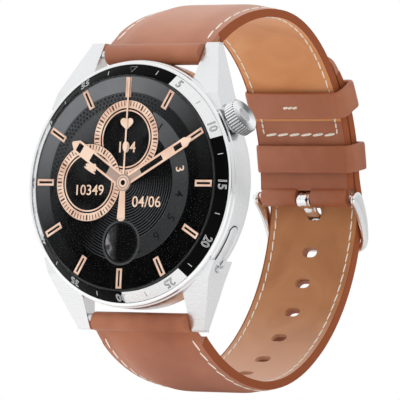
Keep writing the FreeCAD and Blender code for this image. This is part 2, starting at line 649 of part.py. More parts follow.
def make_button():
    gap = D["assembly_gap"]
    stem_start, boss_start = D["button_stem_start"], D["button_boss_start"]
    radius, bore = D["button_stem_radius"], D["button_bore"]
    cap = pill("button_cap_blank", D["button_length"], D["button_width"], D["button_start"],
               D["button_radius"] + 1)
    outside = cylinder("button_outside", D["button_radius"], D["case_top_height"] * 2)
    place(outside, y=D["case_top_height"], axis=X_AXIS, angle=90)
    face = common("button_face", [cap, outside])
    clip_top = boss_start - D["switch_gap"]
    clip_low = clip_top - D["clip_thickness"]
    ring_low = boss_start + 0.3
    ring_top = ring_low + D["ring_width"]
    groove = radius * 0.65
    stem = radial_turned("button_stem", [
        (0, stem_start), (radius, stem_start), (radius, clip_low - gap), (groove, clip_low - gap),
        (groove, clip_top + gap), (radius, clip_top + gap), (radius, ring_low),
        (groove, ring_low), (groove, ring_top), (radius, ring_top),
        (radius, D["button_start"] + 0.2), (0, D["button_start"] + 0.2)])
    piece(aim(fuse("button_solid", [face, stem]), "button_clock"), "side_button")
    piece(aim(radial_ring("button_ring_body", groove + gap / 3, radius, ring_low + gap,
                          ring_top - gap), "button_clock"), "button_o_ring")
    piece(aim(radial_ring("button_clip_body", groove + gap / 3, radius * 1.9, clip_low,
                          clip_top), "button_clock"), "button_clip")
    spring = coil_spring((bore.value + NUM["counterbore_radius"]) / 2,
                         NUM["counterbore_floor"], NUM["button_start"], 2.25,
                         NUM["spring_wire"])
    aim(solid_piece("button_spring", spring), "button_clock")
    make_switch("button", stem_start - D["button_travel"] - D["switch_gap"])


# --- spring bars -----------------------------------------------------------------------

def across(item, x, height, z):
    return place(item, x=x, y=-height, z=z, axis=Y_AXIS, angle=90)


def make_spring_bar(name, end):
    """A tube with a sprung pin at each side, lying along X in the strap's roll."""
    fit = D["pin_fit"]
    half = D["lug_gap"] / 2 - D["bar_end_gap"]
    tip = D["lug_gap"] / 2 + D["pin_reach"]
    pin_length = D["pin_reach"] + D["bar_end_gap"] + D["pin_inside"]
    place_z = D["bar_place"] * end
    outside = across(cylinder(f"{name}_bar_rod", D["bar_radius"], half * 2), -half,
                     D["bar_height"], place_z)
    bore = across(cylinder(f"{name}_bar_hole", D["pin_radius"] + fit, half * 2 + 1),
                  -half - 0.5, D["bar_height"], place_z)
    piece(cut(f"{name}_bar_cut", outside, [bore]), f"{name}_spring_bar")
    for side, start in (("left", -tip), ("right", tip - pin_length)):
        pin = across(cylinder(f"{name}_pin_{side}", D["pin_radius"], pin_length), start,
                     D["bar_height"], place_z)
        piece(pin, f"{name}_pin_{side}")
    reach = (tip - pin_length).value
    spring = coil_spring(NUM["pin_radius"] - 0.12, -reach, reach, 11.0, 0.16)
    item = solid_piece(f"{name}_bar_spring", spring)
    place(item, y=-D["bar_height"], z=place_z, axis=Y_AXIS, angle=90)


# --- leather ---------------------------------------------------------------------------

def oval(angle, depth, half_height):
    """Distance from the loop's centre to an oval, at an angle from +Y in degrees."""
    turn = math.radians(angle)
    return 1.0 / math.hypot(math.cos(turn) / depth, math.sin(turn) / half_height)


def loop_point(angle, radius, x=0.0):
    turn = math.radians(angle)
    return Vector(x, NUM["loop_centre"] + radius * math.cos(turn), radius * math.sin(turn))


def short_inner(angle):
    """Wrist side of the 12 o'clock half, which lies inside at the clasp."""
    depth = NUM["short_depth"] if abs(angle) < 90 else NUM["loop_half_height"]
    return oval(angle, depth, NUM["loop_half_height"])


def long_inner(angle):
    """Wrist side of the 6 o'clock half, which climbs over the other half at the clasp."""
    if angle <= 0:
        depth = NUM["long_depth"] if angle > -90 else NUM["loop_half_height"]
        return oval(angle, depth, NUM["loop_half_height"])
    over = short_inner(angle) + NUM["strap_thickness"] + NUM["layer_gap"]
    if angle >= NUM["merge_angle"]:
        return over
    rest = NUM["long_depth"] - (NUM["short_depth"] + NUM["strap_thickness"] + NUM["layer_gap"])
    return over + rest * (1 + math.cos(math.pi * angle / NUM["merge_angle"])) / 2


def thickness(angle):
    """The leather is thicker where it is padded, from the quarter point to the lugs."""
    past = max(0.0, (abs(angle) - 90) / (NUM["lug_end_angle"] - 90))
    extra = NUM["strap_lug_thickness"] - NUM["strap_thickness"]
    return NUM["strap_thickness"] + extra * math.sin(min(1.0, past) * math.pi / 2) ** 2


def band(low, high, inner, outer, half_width):
    """A curved slab between two radius rules, drawn across X."""
    count = max(4, int(abs(high - low) / 4))
    angles = [low + (high - low) * n / count for n in range(count + 1)]
    edges = []
    for rule in (inner, outer):
        curve = Part.BSplineCurve()
        curve.interpolate([loop_point(a, rule(a), -half_width) for a in angles])
        edges.append(curve.toShape())
    ends = [Part.LineSegment(loop_point(a, inner(a), -half_width),
                             loop_point(a, outer(a), -half_width)).toShape()
            for a in (angles[0], angles[-1])]
    wire = Part.Wire(Part.__sortEdges__(edges + ends))
    return Part.Face(wire).extrude(Vector(half_width * 2, 0, 0))


def strap_plan(narrower=0.0):
    """The strap seen from above its edge: wide at the lugs, narrower at the clasp."""
    wide = NUM["strap_lug_width"] / 2 - narrower
    slim = NUM["strap_end_width"] / 2 - narrower
    far = NUM["loop_centre"] + NUM["loop_half_height"] + 20
    corners = [(wide, -20), (wide, NUM["taper_start"]), (slim, NUM["taper_end"]), (slim, far)]
    corners += [(-x, y) for x, y in reversed(corners)]
    high = NUM["loop_half_height"] + 20
    points = [Vector(x, y, -high) for x, y in corners]
    return Part.Face(Part.makePolygon(points + points[:1])).extrude(Vector(0, 0, high * 2))


def lug_roll(end, radius):
    centre = Vector(-NUM["strap_lug_width"] / 2, -NUM["bar_height"], NUM["bar_place"] * end)
    return Part.makeCylinder(radius, NUM["strap_lug_width"], centre, X_AXIS)


def case_clearance():
    radius = NUM["case_radius"] + NUM["roll_clearance"]
    return Part.makeCylinder(radius, 40, Vector(0, -30, 0), Y_AXIS)


def buckle_bar(radius, half_length):
    centre = Vector(-half_length, NUM["buckle_bar_depth"], NUM["buckle_bar_place"])
    return Part.makeCylinder(radius, half_length * 2, centre, X_AXIS)


def notch():
    """Room in the end fold for the tongue's ring."""
    width = NUM["notch_width"]
    top = NUM["notch_top"]
    return Part.makeBox(width, 10, top + 10, Vector(-width / 2, NUM["buckle_bar_depth"] - 6, -10))


def punched_hole(angle, radius):
    """A long hole through the leather, across the strap."""
    width, length = NUM["hole_width"], NUM["hole_length"]
    middle = Part.makeBox(width - length, length, 8, Vector(-(width - length) / 2, -length / 2, -4))
    shape = middle
    for side in (-1, 1):
        at = Vector(side * (width - length) / 2, 0, -4)
        shape = shape.fuse(Part.makeCylinder(length / 2, 8, at, Z_AXIS))
    turn = Rotation(X_AXIS, angle - 90)
    shape.Placement = Placement(loop_point(angle, radius), turn)
    return shape


def make_short_strap():
    low, high = NUM["short_end_angle"], NUM["lug_end_angle"]
    lining = NUM["lining_thickness"]
    fine = NUM["assembly_gap"]
    half = NUM["strap_lug_width"] / 2
    trim = case_clearance()
    outer = band(low, high, lambda a: short_inner(a) + lining + fine,
                 lambda a: short_inner(a) + thickness(a), half)
    fold = buckle_bar(NUM["fold_radius"], NUM["strap_end_width"] / 2)
    roll = lug_roll(1, NUM["roll_radius"])
    skin = outer.fuse([fold, roll]).common(strap_plan())
    under = band(low + 3.2, high - 5.0, short_inner, lambda a: short_inner(a) + lining, half)
    skin = skin.cut([trim, lug_roll(1, NUM["bar_radius"] + fine), notch(),
                     buckle_bar(NUM["bar_radius"] + fine, half)])
    under = under.common(strap_plan()).cut([lug_roll(1, NUM["roll_radius"] + fine), notch(),
                                            buckle_bar(NUM["fold_radius"] + fine, half)])
    solid_piece("short_strap_outer", skin)
    solid_piece("short_strap_lining", under)


def make_long_strap():
    low, high = -NUM["lug_end_angle"], NUM["tail_angle"]
    lining = NUM["lining_thickness"]
    fine = NUM["assembly_gap"]
    half = NUM["strap_lug_width"] / 2
    outer = band(low, high, lambda a: long_inner(a) + lining + fine,
                 lambda a: long_inner(a) + thickness(a), half)
    skin = outer.fuse(lug_roll(-1, NUM["roll_radius"])).common(strap_plan())
    under = band(low + 5.0, high, long_inner, lambda a: long_inner(a) + lining, half)
    under = under.common(strap_plan()).cut(lug_roll(-1, NUM["roll_radius"] + fine))
    count = int(NUM["hole_count"])
    angles = [NUM["hole_first_angle"] - NUM["hole_step_angle"] * n for n in range(1, count)]
    holes = [punched_hole(a, long_inner(a)) for a in angles]
    holes.append(tongue_solid(NUM["tongue_clearance"]))
    skin = skin.cut([case_clearance(), lug_roll(-1, NUM["bar_radius"] + fine)] + holes)
    under = under.cut(holes)
    solid_piece("long_strap_outer", skin)
    solid_piece("long_strap_lining", under)


def bend_centre(angle):
    """Centre of the circle that the strap follows near an angle, and its wrist side's radius."""
    low, middle, high = [loop_point(a, short_inner(a)) for a in (angle - 5, angle, angle + 5)]
    circle = Part.Circle(low, middle, high)
    return circle.Center, circle.Radius


def keeper_shape(angle):
    """A leather hoop round both halves of the strap, bent as the strap is there."""
    fit, thick = NUM["keeper_fit"], NUM["keeper_thickness"]
    centre, radius = bend_centre(angle)
    side = NUM["strap_end_width"] / 2 + NUM["keeper_side_fit"]
    stack = NUM["strap_thickness"] * 2 + NUM["layer_gap"]

    def tube(low, high, half):
        start = centre - Vector(half, 0, 0)
        solid = Part.makeCylinder(high, half * 2, start, X_AXIS)
        return solid.cut(Part.makeCylinder(low, half * 2, start, X_AXIS))

    hoop = tube(radius - fit - thick, radius + stack + fit + thick, side + thick)
    hoop = hoop.cut(tube(radius - fit, radius + stack + fit, side))
    at = loop_point(angle, short_inner(angle))
    away = at - centre
    lean = math.degrees(math.atan2(away.z, away.y))
    width = NUM["keeper_width"]
    slab = Part.makeBox(side * 4, radius, width, Vector(-side * 2, 0, -width / 2))
    slab.Placement = Placement(at - away * 0.5, Rotation(X_AXIS, lean))
    return hoop.common(slab)


def make_keepers():
    for name in ("fixed_keeper", "loose_keeper"):
        solid_piece(name, keeper_shape(NUM[f"{name}_angle"]))


# --- buckle ----------------------------------------------------------------------------

def tongue_solid(more=0.0):
    """The tongue: a ring on the bar and a bent prong that ends on the frame's end bar."""
    bar_y, bar_z = NUM["buckle_bar_depth"], NUM["buckle_bar_place"]
    half_width = NUM["tongue_width"] / 2 + more
    thick = NUM["tongue_thickness"] + more * 2
    ring_radius = NUM["bar_radius"] + NUM["tongue_ring"]
    lean = math.radians(NUM["buckle_tilt"])
    rest = NUM["buckle_thickness"] / 2 + NUM["tongue_thickness"] / 2 + 0.2
    end_y = bar_y + NUM["buckle_reach"] * math.sin(lean) + rest * math.cos(lean)
    end_z = bar_z - NUM["buckle_reach"] * math.cos(lean) + rest * math.sin(lean)
    path = [Vector(0, bar_y + ring_radius * 0.55, bar_z - ring_radius * 0.75),
            Vector(0, bar_y + ring_radius * 0.55 + 1.7, bar_z - 3.0),
            Vector(0, end_y - 1.0, bar_z - 4.9),
            Vector(0, end_y, end_z + 3.2),
            Vector(0, end_y + 0.2, end_z - NUM["buckle_end_bar"] / 2 - 0.2)]
    curve = Part.BSplineCurve()
    curve.interpolate(path)
    edges = []
    steps = [curve.LastParameter * n / 16 for n in range(17)]
    for side in (-1, 1):
        points = []
        for step in steps:
            along = curve.tangent(step)[0]
            points.append(curve.value(step) + Vector(0, -along.z, along.y) * (side * thick / 2))
        line = Part.BSplineCurve()
        line.interpolate(points)
        edges.append(line)
    ends = [Part.LineSegment(edges[0].value(edges[0].FirstParameter),
                             edges[1].value(edges[1].FirstParameter)),
            Part.LineSegment(edges[0].value(edges[0].LastParameter),
                             edges[1].value(edges[1].LastParameter))]
    wire = Part.Wire(Part.__sortEdges__([e.toShape() for e in edges + ends]))
    prong = Part.Face(wire).extrude(Vector(half_width * 2, 0, 0))
    prong.translate(Vector(-half_width, 0, 0))
    loop = buckle_bar(ring_radius + more, half_width)
    return prong.fuse(loop)


def make_buckle():
    fit = NUM["pin_fit"]
    bar_y, bar_z = D["buckle_bar_depth"], D["buckle_bar_place"]
    inner_half = D["strap_end_width"] / 2 + D["buckle_arm_gap"]
    outer_half = inner_half + D["buckle_arm"]
    reach, end_bar = D["buckle_reach"], D["buckle_end_bar"]
    eye = D["buckle_thickness"] / 2
    corner = D["buckle_corner"]
    plate = prism("buckle_plate", "Y", [
        (-outer_half, 0), (-outer_half, -reach - end_bar / 2 + corner),
        (-outer_half + corner * 0.3, -reach - end_bar / 2 + corner * 0.3),
        (-outer_half + corner, -reach - end_bar / 2), (outer_half - corner, -reach - end_bar / 2),
        (outer_half - corner * 0.3, -reach - end_bar / 2 + corner * 0.3),
        (outer_half, -reach - end_bar / 2 + corner), (outer_half, 0)],
        -D["buckle_thickness"] / 2, D["buckle_thickness"])
    room = prism("buckle_room", "Y", [
        (-inner_half, 4), (-inner_half, -reach + end_bar / 2 + corner * 0.5),
        (-inner_half + corner * 0.5, -reach + end_bar / 2),
        (inner_half - corner * 0.5, -reach + end_bar / 2),
        (inner_half, -reach + end_bar / 2 + corner * 0.5), (inner_half, 4)],
        -D["buckle_thickness"], D["buckle_thickness"] * 2)
    eyes = cylinder("buckle_eyes", eye, outer_half * 2)
    place(eyes, x=-outer_half, axis=Y_AXIS, angle=90)
    hole = cylinder("buckle_eye_hole", D["pin_radius"] + D["pin_fit"], outer_half * 2 + 1)
    place(hole, x=-outer_half - 0.5, axis=Y_AXIS, angle=90)
    frame = cut("buckle_cut", fuse("buckle_blank", [plate, eyes]), [room, hole])
    place(frame, y=bar_y, z=bar_z, axis=X_AXIS, angle=D["buckle_tilt"])
    piece(frame, "buckle_frame")
    tube = cylinder("buckle_bar_tube", D["bar_radius"], inner_half * 2 - 0.4)
    place(tube, x=-inner_half + 0.2, y=bar_y, z=bar_z, axis=Y_AXIS, angle=90)
    pin = cylinder("buckle_bar_pin", D["pin_radius"], outer_half * 2 - 0.3)
    place(pin, x=-outer_half + 0.15, y=bar_y, z=bar_z, axis=Y_AXIS, angle=90)
    piece(fuse("buckle_bar_parts", [tube, pin]), "buckle_spring_bar")
    tongue = tongue_solid().cut(buckle_bar(NUM["bar_radius"] + fit, NUM["tongue_width"]))
    solid_piece("buckle_tongue", tongue)


def check_and_write():
    doc.recompute()
    for item in doc.Objects:
        if "Invalid" in item.State or "Error" in item.State:
            raise RuntimeError(f"{item.Label} failed: {item.State}")
    os.makedirs("parts", exist_ok=True)
    for item in PIECES:
        shape = item.Shape
        if shape.isNull() or not shape.isValid() or not shape.Solids:
            raise RuntimeError(f"{item.Label} has no valid solid")
        shape.exportStep(f"parts/{item.Label}.step")
        print(f"{item.Label}: {len(shape.Solids)} solid(s), {shape.Volume:.1f} mm3")


make_mid_case()
make_bezel_and_glass()
make_inside()
make_back()
make_crown()
make_button()
make_spring_bar("upper", 1)
make_spring_bar("lower", -1)
make_short_strap()
make_long_strap()
make_keepers()
make_buckle()
check_and_write()
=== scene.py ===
"""A round smartwatch on a buckled leather strap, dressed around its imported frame.

Sizes are in millimetres until a piece is finished. The dial faces -Y, 12 o'clock is +Z
and 3 o'clock is +X. A "height" is a distance in front of the case back, along -Y.
"""

import math

import bmesh
import bpy
from mathutils import Matrix, Vector


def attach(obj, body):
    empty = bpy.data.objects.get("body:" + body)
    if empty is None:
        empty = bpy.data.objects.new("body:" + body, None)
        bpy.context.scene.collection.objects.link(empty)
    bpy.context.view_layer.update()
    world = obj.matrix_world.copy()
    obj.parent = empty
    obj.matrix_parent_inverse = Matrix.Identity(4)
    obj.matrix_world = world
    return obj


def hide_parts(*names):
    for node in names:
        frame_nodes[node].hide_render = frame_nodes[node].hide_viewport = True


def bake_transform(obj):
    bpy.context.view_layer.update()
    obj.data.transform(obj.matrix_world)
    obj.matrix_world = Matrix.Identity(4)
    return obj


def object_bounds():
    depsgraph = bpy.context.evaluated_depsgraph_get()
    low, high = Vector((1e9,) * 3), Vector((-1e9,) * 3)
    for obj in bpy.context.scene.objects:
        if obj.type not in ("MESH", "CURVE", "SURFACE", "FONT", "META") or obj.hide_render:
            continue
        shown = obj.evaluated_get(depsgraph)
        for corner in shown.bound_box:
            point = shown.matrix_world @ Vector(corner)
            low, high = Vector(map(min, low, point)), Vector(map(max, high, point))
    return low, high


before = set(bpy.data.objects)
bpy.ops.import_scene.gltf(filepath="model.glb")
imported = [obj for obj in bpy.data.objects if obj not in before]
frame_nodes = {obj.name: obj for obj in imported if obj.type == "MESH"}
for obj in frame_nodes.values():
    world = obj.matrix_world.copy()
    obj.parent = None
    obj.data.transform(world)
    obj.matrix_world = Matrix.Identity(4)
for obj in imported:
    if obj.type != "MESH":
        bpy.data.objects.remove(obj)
cad_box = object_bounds()

# --- studio ---------------------------------------------------------------------------
# A white table and sweep, a broad soft lamp over the 12 o'clock side, a weaker
# one by the crown, and a long lens a metre off that looks a little upwards.

scene = bpy.context.scene
scene.view_settings.view_transform = "Standard"

turn, lift, tilt = 0.595464, -0.0645545, 0.0509176
towards = Vector((math.sin(turn) * math.cos(lift), -math.cos(turn) * math.cos(lift),
                  math.sin(lift)))
level_right = Vector((math.cos(turn), math.sin(turn), 0))
level_up = towards.cross(level_right)
right = math.cos(tilt) * level_right + math.sin(tilt) * level_up
up = -math.sin(tilt) * level_right + math.cos(tilt) * level_up
lens = bpy.data.cameras.new("studio_camera")
lens.lens, lens.sensor_width = 483.64, 36
lens.clip_start, lens.clip_end = 0.05, 20
camera = bpy.data.objects.new("studio_camera", lens)
stand = (towards * 1000 + right * 14.1213 - up * 3.2057) * 0.969 + Vector((0, -10.5, 0))
camera.matrix_world = Matrix((
    (right.x, up.x, towards.x, stand.x * 0.001), (right.y, up.y, towards.y, stand.y * 0.001),
    (right.z, up.z, towards.z, stand.z * 0.001), (0, 0, 0, 1)))
scene.collection.objects.link(camera)
scene.camera = camera


def add_node(tree, kind, links=(), **settings):
    """A shader node whose inputs are wired to sockets or set to plain values."""
    fresh = tree.nodes.new(kind)
    for key, value in settings.items():
        setattr(fresh, key, value)
    for socket, value in dict(links).items():
        if isinstance(value, bpy.types.NodeSocket):
            tree.links.new(value, fresh.inputs[socket])
        else:
            fresh.inputs[socket].default_value = value
    return fresh


def ramp(tree, value, low, high, to_low=0.0, to_high=1.0):
    """Carries a value from one range over to another."""
    return add_node(tree, "ShaderNodeMapRange", {
        "Value": value, "From Min": low, "From Max": high, "To Min": to_low,
        "To Max": to_high}).outputs[0]


world = bpy.data.worlds.new("studio_white")
scene.world = world
world.use_nodes = True
sky = world.node_tree
seen = add_node(sky, "ShaderNodeLightPath").outputs
heading = add_node(sky, "ShaderNodeTexCoord").outputs["Generated"]


def sky_ramp(direction, low, high, to_low, to_high):
    """A level that changes with how nearly a ray heads in a direction."""
    nearness = add_node(sky, "ShaderNodeVectorMath", {0: heading, 1: direction},
                        operation="DOT_PRODUCT").outputs["Value"]
    return ramp(sky, nearness, low, high, to_low, to_high)


def sky_maths(kind, first, second):
    return add_node(sky, "ShaderNodeMath", {0: first, 1: second}, operation=kind).outputs[0]


# The camera sees plain white. Matt surfaces get more light from the side away from the
# crown, and mirrors see a dark flag round the lens and a sweep that is palest on top.
shown = sky_maths("MAXIMUM", sky_maths("MAXIMUM", seen["Is Glossy Ray"],
                                       seen["Is Transmission Ray"]), seen["Is Camera Ray"])
matt_level = ramp(sky, shown, 0.0, 1.0,
                  sky_ramp((-0.75, -0.25, 0.61), -1.0, 1.0, 0.45, 1.05), 1.0)
mirror_level = sky_maths("MULTIPLY", sky_ramp(towards, 0.86, 0.98, 1.0, 0.22),
                         sky_ramp((-0.35, -0.1, 0.93), -0.75, 0.55, 0.46, 0.97))
strength = add_node(sky, "ShaderNodeMix", {
    "Factor": seen["Is Glossy Ray"], "A": matt_level, "B": mirror_level})
background = sky.nodes["Background"].inputs
background["Color"].default_value = (1, 1, 1, 1)
sky.links.new(strength.outputs["Result"], background["Strength"])


def lamp(name, place, size, power):
    """A square soft box at a place in metres, facing the watch."""
    light = bpy.data.lights.new(name, "AREA")
    light.shape, light.size, light.energy = "SQUARE", size, power
    box = bpy.data.objects.new(name, light)
    box.location = place
    box.visible_glossy = False
    box.rotation_mode = "QUATERNION"
    box.rotation_quaternion = (Vector((0, 0.02, 0)) - Vector(place)).to_track_quat("-Z", "Y")
    scene.collection.objects.link(box)


lamp("top_soft_box", (-0.25, -0.35, 0.65), 1.3, 2.7)
lamp("crown_side_box", (0.65, -0.3, 0.02), 0.9, 0.3)

floor_mesh = bmesh.new()
bmesh.ops.create_grid(floor_mesh, x_segments=1, y_segments=1, size=1.5)
bmesh.ops.translate(floor_mesh, verts=floor_mesh.verts, vec=(0, 0, cad_box[0].z - 0.0016))
table = bpy.data.meshes.new("photo_table")
floor_mesh.to_mesh(table)
floor_mesh.free()
photo_table = bpy.data.objects.new("photo_table", table)
scene.collection.objects.link(photo_table)
table_paint = bpy.data.materials.new("table_paint")
table_paint.use_nodes = True
paint = table_paint.node_tree
card = paint.nodes["Principled BSDF"]
card.inputs["Roughness"].default_value = 0.7
side_seen = add_node(paint, "ShaderNodeNewGeometry").outputs
ray = add_node(paint, "ShaderNodeLightPath").outputs
distance_back = add_node(paint, "ShaderNodeSeparateXYZ", {0: side_seen["Position"]}).outputs["Y"]
# Mirrors see the table paler near the watch and darker further back, a painted falloff. The
# table also glows a little, more for the light it throws on the watch than towards the lens: a
# weak light from below.
card_tone = add_node(paint, "ShaderNodeMix", {
    "Factor": ray["Is Glossy Ray"], "A": 0.86,
    "B": ramp(paint, distance_back, 0.0, 0.06, 0.97, 0.68)}).outputs["Result"]
fibre = add_node(paint, "ShaderNodeTexNoise", {"Scale": 400}).outputs[0]
fibre_bump = add_node(paint, "ShaderNodeBump", {"Strength": 0.05, "Height": fibre})
paint.links.new(card_tone, card.inputs["Base Color"])
paint.links.new(fibre_bump.outputs[0], card.inputs["Normal"])
glow = add_node(paint, "ShaderNodeEmission", {
    "Color": (1, 1, 1, 1), "Strength": add_node(paint, "ShaderNodeMath", {
        0: ray["Is Diffuse Ray"], 1: 0.28, 2: 0.06}, operation="MULTIPLY_ADD").outputs[0]})
lit = add_node(paint, "ShaderNodeAddShader", {0: card.outputs[0], 1: glow.outputs[0]})
open_below = add_node(paint, "ShaderNodeBsdfTransparent")
from_below = add_node(paint, "ShaderNodeMixShader", {
    0: side_seen["Backfacing"], 1: lit.outputs[0], 2: open_below.outputs[0]})
paint.links.new(from_below.outputs[0], paint.nodes["Material Output"].inputs["Surface"])
table.materials.append(table_paint)

# --- steel case -----------------------------------------------------------------------
# The mid case and its four lugs are one forging of 316L steel, milled, its flanks
# brushed lengthways and its edges polished. The frame's own solid is kept.


class Finish:
    """A material for one finish: its Principled shader and the nodes that feed it."""

    def __init__(self, name, colour, roughness, metallic=0.0, **sockets):
        self.material = bpy.data.materials.new(name)
        self.material.use_nodes = True
        self.tree = self.material.node_tree
        self.shader = self.tree.nodes["Principled BSDF"]
        self.shader.inputs["Base Color"].default_value = (*colour, 1)
        self.shader.inputs["Roughness"].default_value = roughness
        self.shader.inputs["Metallic"].default_value = metallic
        for socket, value in sockets.items():
            self.shader.inputs[socket.replace("_", " ")].default_value = value
        self.place = self.node("ShaderNodeTexCoord").outputs["Object"]
        self.bumped = None

    def node(self, kind, links=(), **settings):
        return add_node(self.tree, kind, links, **settings)

    def feed(self, socket, value):
        self.tree.links.new(value, self.shader.inputs[socket])

    def parts(self, source=None):
        return self.node("ShaderNodeSeparateXYZ", {0: source or self.place}).outputs

    def mapped(self, scale=(1, 1, 1), turned=(0, 0, 0), moved=(0, 0, 0), source=None):
        return self.node("ShaderNodeMapping", {
            "Vector": source or self.place, "Scale": scale, "Rotation": turned,
            "Location": moved}).outputs[0]

    def noise(self, scale, detail=2.0, source=None, distortion=0.0):
        return self.node("ShaderNodeTexNoise", {
            "Vector": source or self.place, "Scale": scale, "Detail": detail,
            "Distortion": distortion}).outputs[0]

    def rings(self, scale, source=None, distortion=0.0, axis="Y"):
        return self.node("ShaderNodeTexWave", {
            "Vector": source or self.place, "Scale": scale, "Distortion": distortion},
            wave_type="RINGS", rings_direction=axis).outputs[0]

    def maths(self, kind, first, second=0.0):
        return self.node("ShaderNodeMath", {0: first, 1: second}, operation=kind).outputs[0]

    def spread(self, value, low, high, to_low=0.0, to_high=1.0):
        return ramp(self.tree, value, low, high, to_low, to_high)

    def mixed(self, share, first, second):
        return self.node("ShaderNodeMix", {0: share, 6: first, 7: second},
                         data_type="RGBA").outputs[2]

    def shades(self, value, stops, kind="LINEAR"):
        """Colours along a 0 to 1 value, from (place, colour) stops."""
        scale = self.node("ShaderNodeValToRGB", {"Fac": value})
        scale.color_ramp.interpolation = kind
        while len(scale.color_ramp.elements) < len(stops):
            scale.color_ramp.elements.new(1.0)
        for element, (at, colour) in zip(scale.color_ramp.elements, stops):
            element.position, element.color = at, (*colour, 1)
        return scale.outputs[0]

    def bump(self, height, strength, depth):
        """Adds relief of a depth in metres to what the shader already has."""
        links = {"Height": height, "Strength": strength, "Distance": depth}
        if self.bumped:
            links["Normal"] = self.bumped
        self.bumped = self.node("ShaderNodeBump", links).outputs[0]
        self.feed("Normal", self.bumped)


def dress(finish, *names):
    """Gives the frame's own solids a finish."""
    for name in names:
        mesh = frame_nodes[name].data
        mesh.materials.clear()
        mesh.materials.append(finish.material)


def softened(name, width, steps=3):
    """Rounds a frame solid's sharp edges, as a tumbled or polished part has them."""
    solid = frame_nodes[name]
    weld = solid.modifiers.new("joined", "WELD")
    weld.merge_threshold = 0.000005
    round_off = solid.modifiers.new("edges", "BEVEL")
    round_off.width, round_off.segments = width * 0.001, steps
    round_off.limit_method, round_off.angle_limit = "ANGLE", math.radians(32)
    round_off.harden_normals = True


def grained(name, colour, roughness, metallic, grain, relief, gloss=None, stretch=None,
            **sockets):
    """A finish whose grain (scale, detail) shows in its relief and, with a range, gloss."""
    finish = Finish(name, colour, roughness, metallic, **sockets)
    texture = finish.noise(*grain, source=finish.mapped(stretch) if stretch else None)
    if gloss:
        finish.feed("Roughness", finish.spread(texture, *gloss))
    finish.bump(texture, *relief)
    return finish


case_steel = grained("case_steel", (0.80, 0.81, 0.82), 0.24, 1.0, (900, 3), (0.02, 0.00002),
                     (0.3, 0.7, 0.19, 0.33), (0.06, 4, 0.06))
case_steel.feed("Base Color", case_steel.shades(case_steel.noise(55, 3), (
    (0.35, (0.81, 0.82, 0.83)), (0.65, (0.86, 0.865, 0.875)))))
dress(case_steel, "mid_case")
softened("mid_case", 0.07, 2)

# --- bezel ----------------------------------------------------------------------------
# A polished steel rim is pressed on the case and carries a sloping insert of steel, black with
# bright bare steel sectors that are partly painted reflections, with five-minute numbers
# engraved in outline.


def turned_on_dial(points, steps=144):
    """A closed (radius, height) outline in millimetres turned round the watch's axis."""
    shape = bmesh.new()
    corners = [shape.verts.new((r, -h, 0)) for r, h in points]
    sides = [shape.edges.new((corners[i], corners[(i + 1) % len(corners)]))
             for i in range(len(corners))
             if points[i][0] > 0 or points[(i + 1) % len(corners)][0] > 0]
    bmesh.ops.spin(shape, geom=corners + sides, cent=(0, 0, 0), axis=(0, 1, 0),
                   angle=math.tau, steps=steps, use_merge=True)
    return shape


def made(name, shape, body, finish, stands_for=(), crease=35, rounded=0.0):
    """Closes a mesh, turns it to metres and puts it on its body."""
    bmesh.ops.remove_doubles(shape, verts=shape.verts, dist=0.0005)
    bmesh.ops.recalc_face_normals(shape, faces=shape.faces)
    if rounded:
        sharp = [e for e in shape.edges if e.is_manifold and e.calc_face_angle() > 0.6]
        bmesh.ops.bevel(shape, geom=sharp, offset=rounded, affect="EDGES", segments=2,
                        profile=0.5, material=-1, clamp_overlap=True)
    bmesh.ops.scale(shape, verts=shape.verts, vec=(0.001, 0.001, 0.001))
    for face in shape.faces:
        face.smooth = True
    mesh = bpy.data.meshes.new(name)
    shape.to_mesh(mesh)
    shape.free()
    mesh.set_sharp_from_angle(angle=math.radians(crease))
    mesh.materials.append(finish.material)
    item = bpy.data.objects.new(name, mesh)
    scene.collection.objects.link(item)
    if stands_for:
        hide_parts(*stands_for)
    if body:
        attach(item, body)
    return item


def rotation(degrees, axis):
    return Matrix.Rotation(math.radians(degrees), 4, axis)


def clock_place(degrees, radius, height):
    """A point on the dial at a clockwise angle from 12, in millimetres."""
    at = math.radians(degrees)
    return Vector((radius * math.sin(at), -height, radius * math.cos(at)))


def lettering(words, tall, degrees, radius, height, upright=False, slope=0.0, line=0.0,
              thick=0.02):
    """Figures standing on the dial, filled or, with a line width, only in outline."""
    text = bpy.data.curves.new(words, "FONT")
    text.body, text.size = words, tall / 0.7
    text.align_x, text.align_y = "CENTER", "CENTER"
    text.resolution_u = 4
    if line:
        text.fill_mode, text.bevel_depth, text.bevel_resolution = "NONE", line, 0
    else:
        text.extrude, text.offset = thick, 0.006 * tall
    holder = bpy.data.objects.new(words, text)
    mesh = bpy.data.meshes.new_from_object(holder)
    bpy.data.objects.remove(holder)
    shape = bmesh.new()
    shape.from_mesh(mesh)
    bpy.data.meshes.remove(mesh)
    face_front = rotation(90, "X")
    spin = rotation(0 if upright else degrees, "Y")
    tip = rotation(-slope, "X")
    centre = Matrix.Translation(clock_place(degrees, radius, height))
    bmesh.ops.transform(shape, matrix=centre @ spin @ tip @ face_front, verts=shape.verts)
    return shape


def joined(shapes):
    """Several meshes as one."""
    whole = bmesh.new()
    for shape in shapes:
        mesh = bpy.data.meshes.new("part")
        shape.to_mesh(mesh)
        shape.free()
        whole.from_mesh(mesh)
        bpy.data.meshes.remove(mesh)
    return whole


def extruded(shape, faces):
    """Extrudes faces where they lie and gives back the new verts."""
    region = bmesh.ops.extrude_face_region(shape, geom=faces)["geom"]
    return [item for item in region if isinstance(item, bmesh.types.BMVert)]


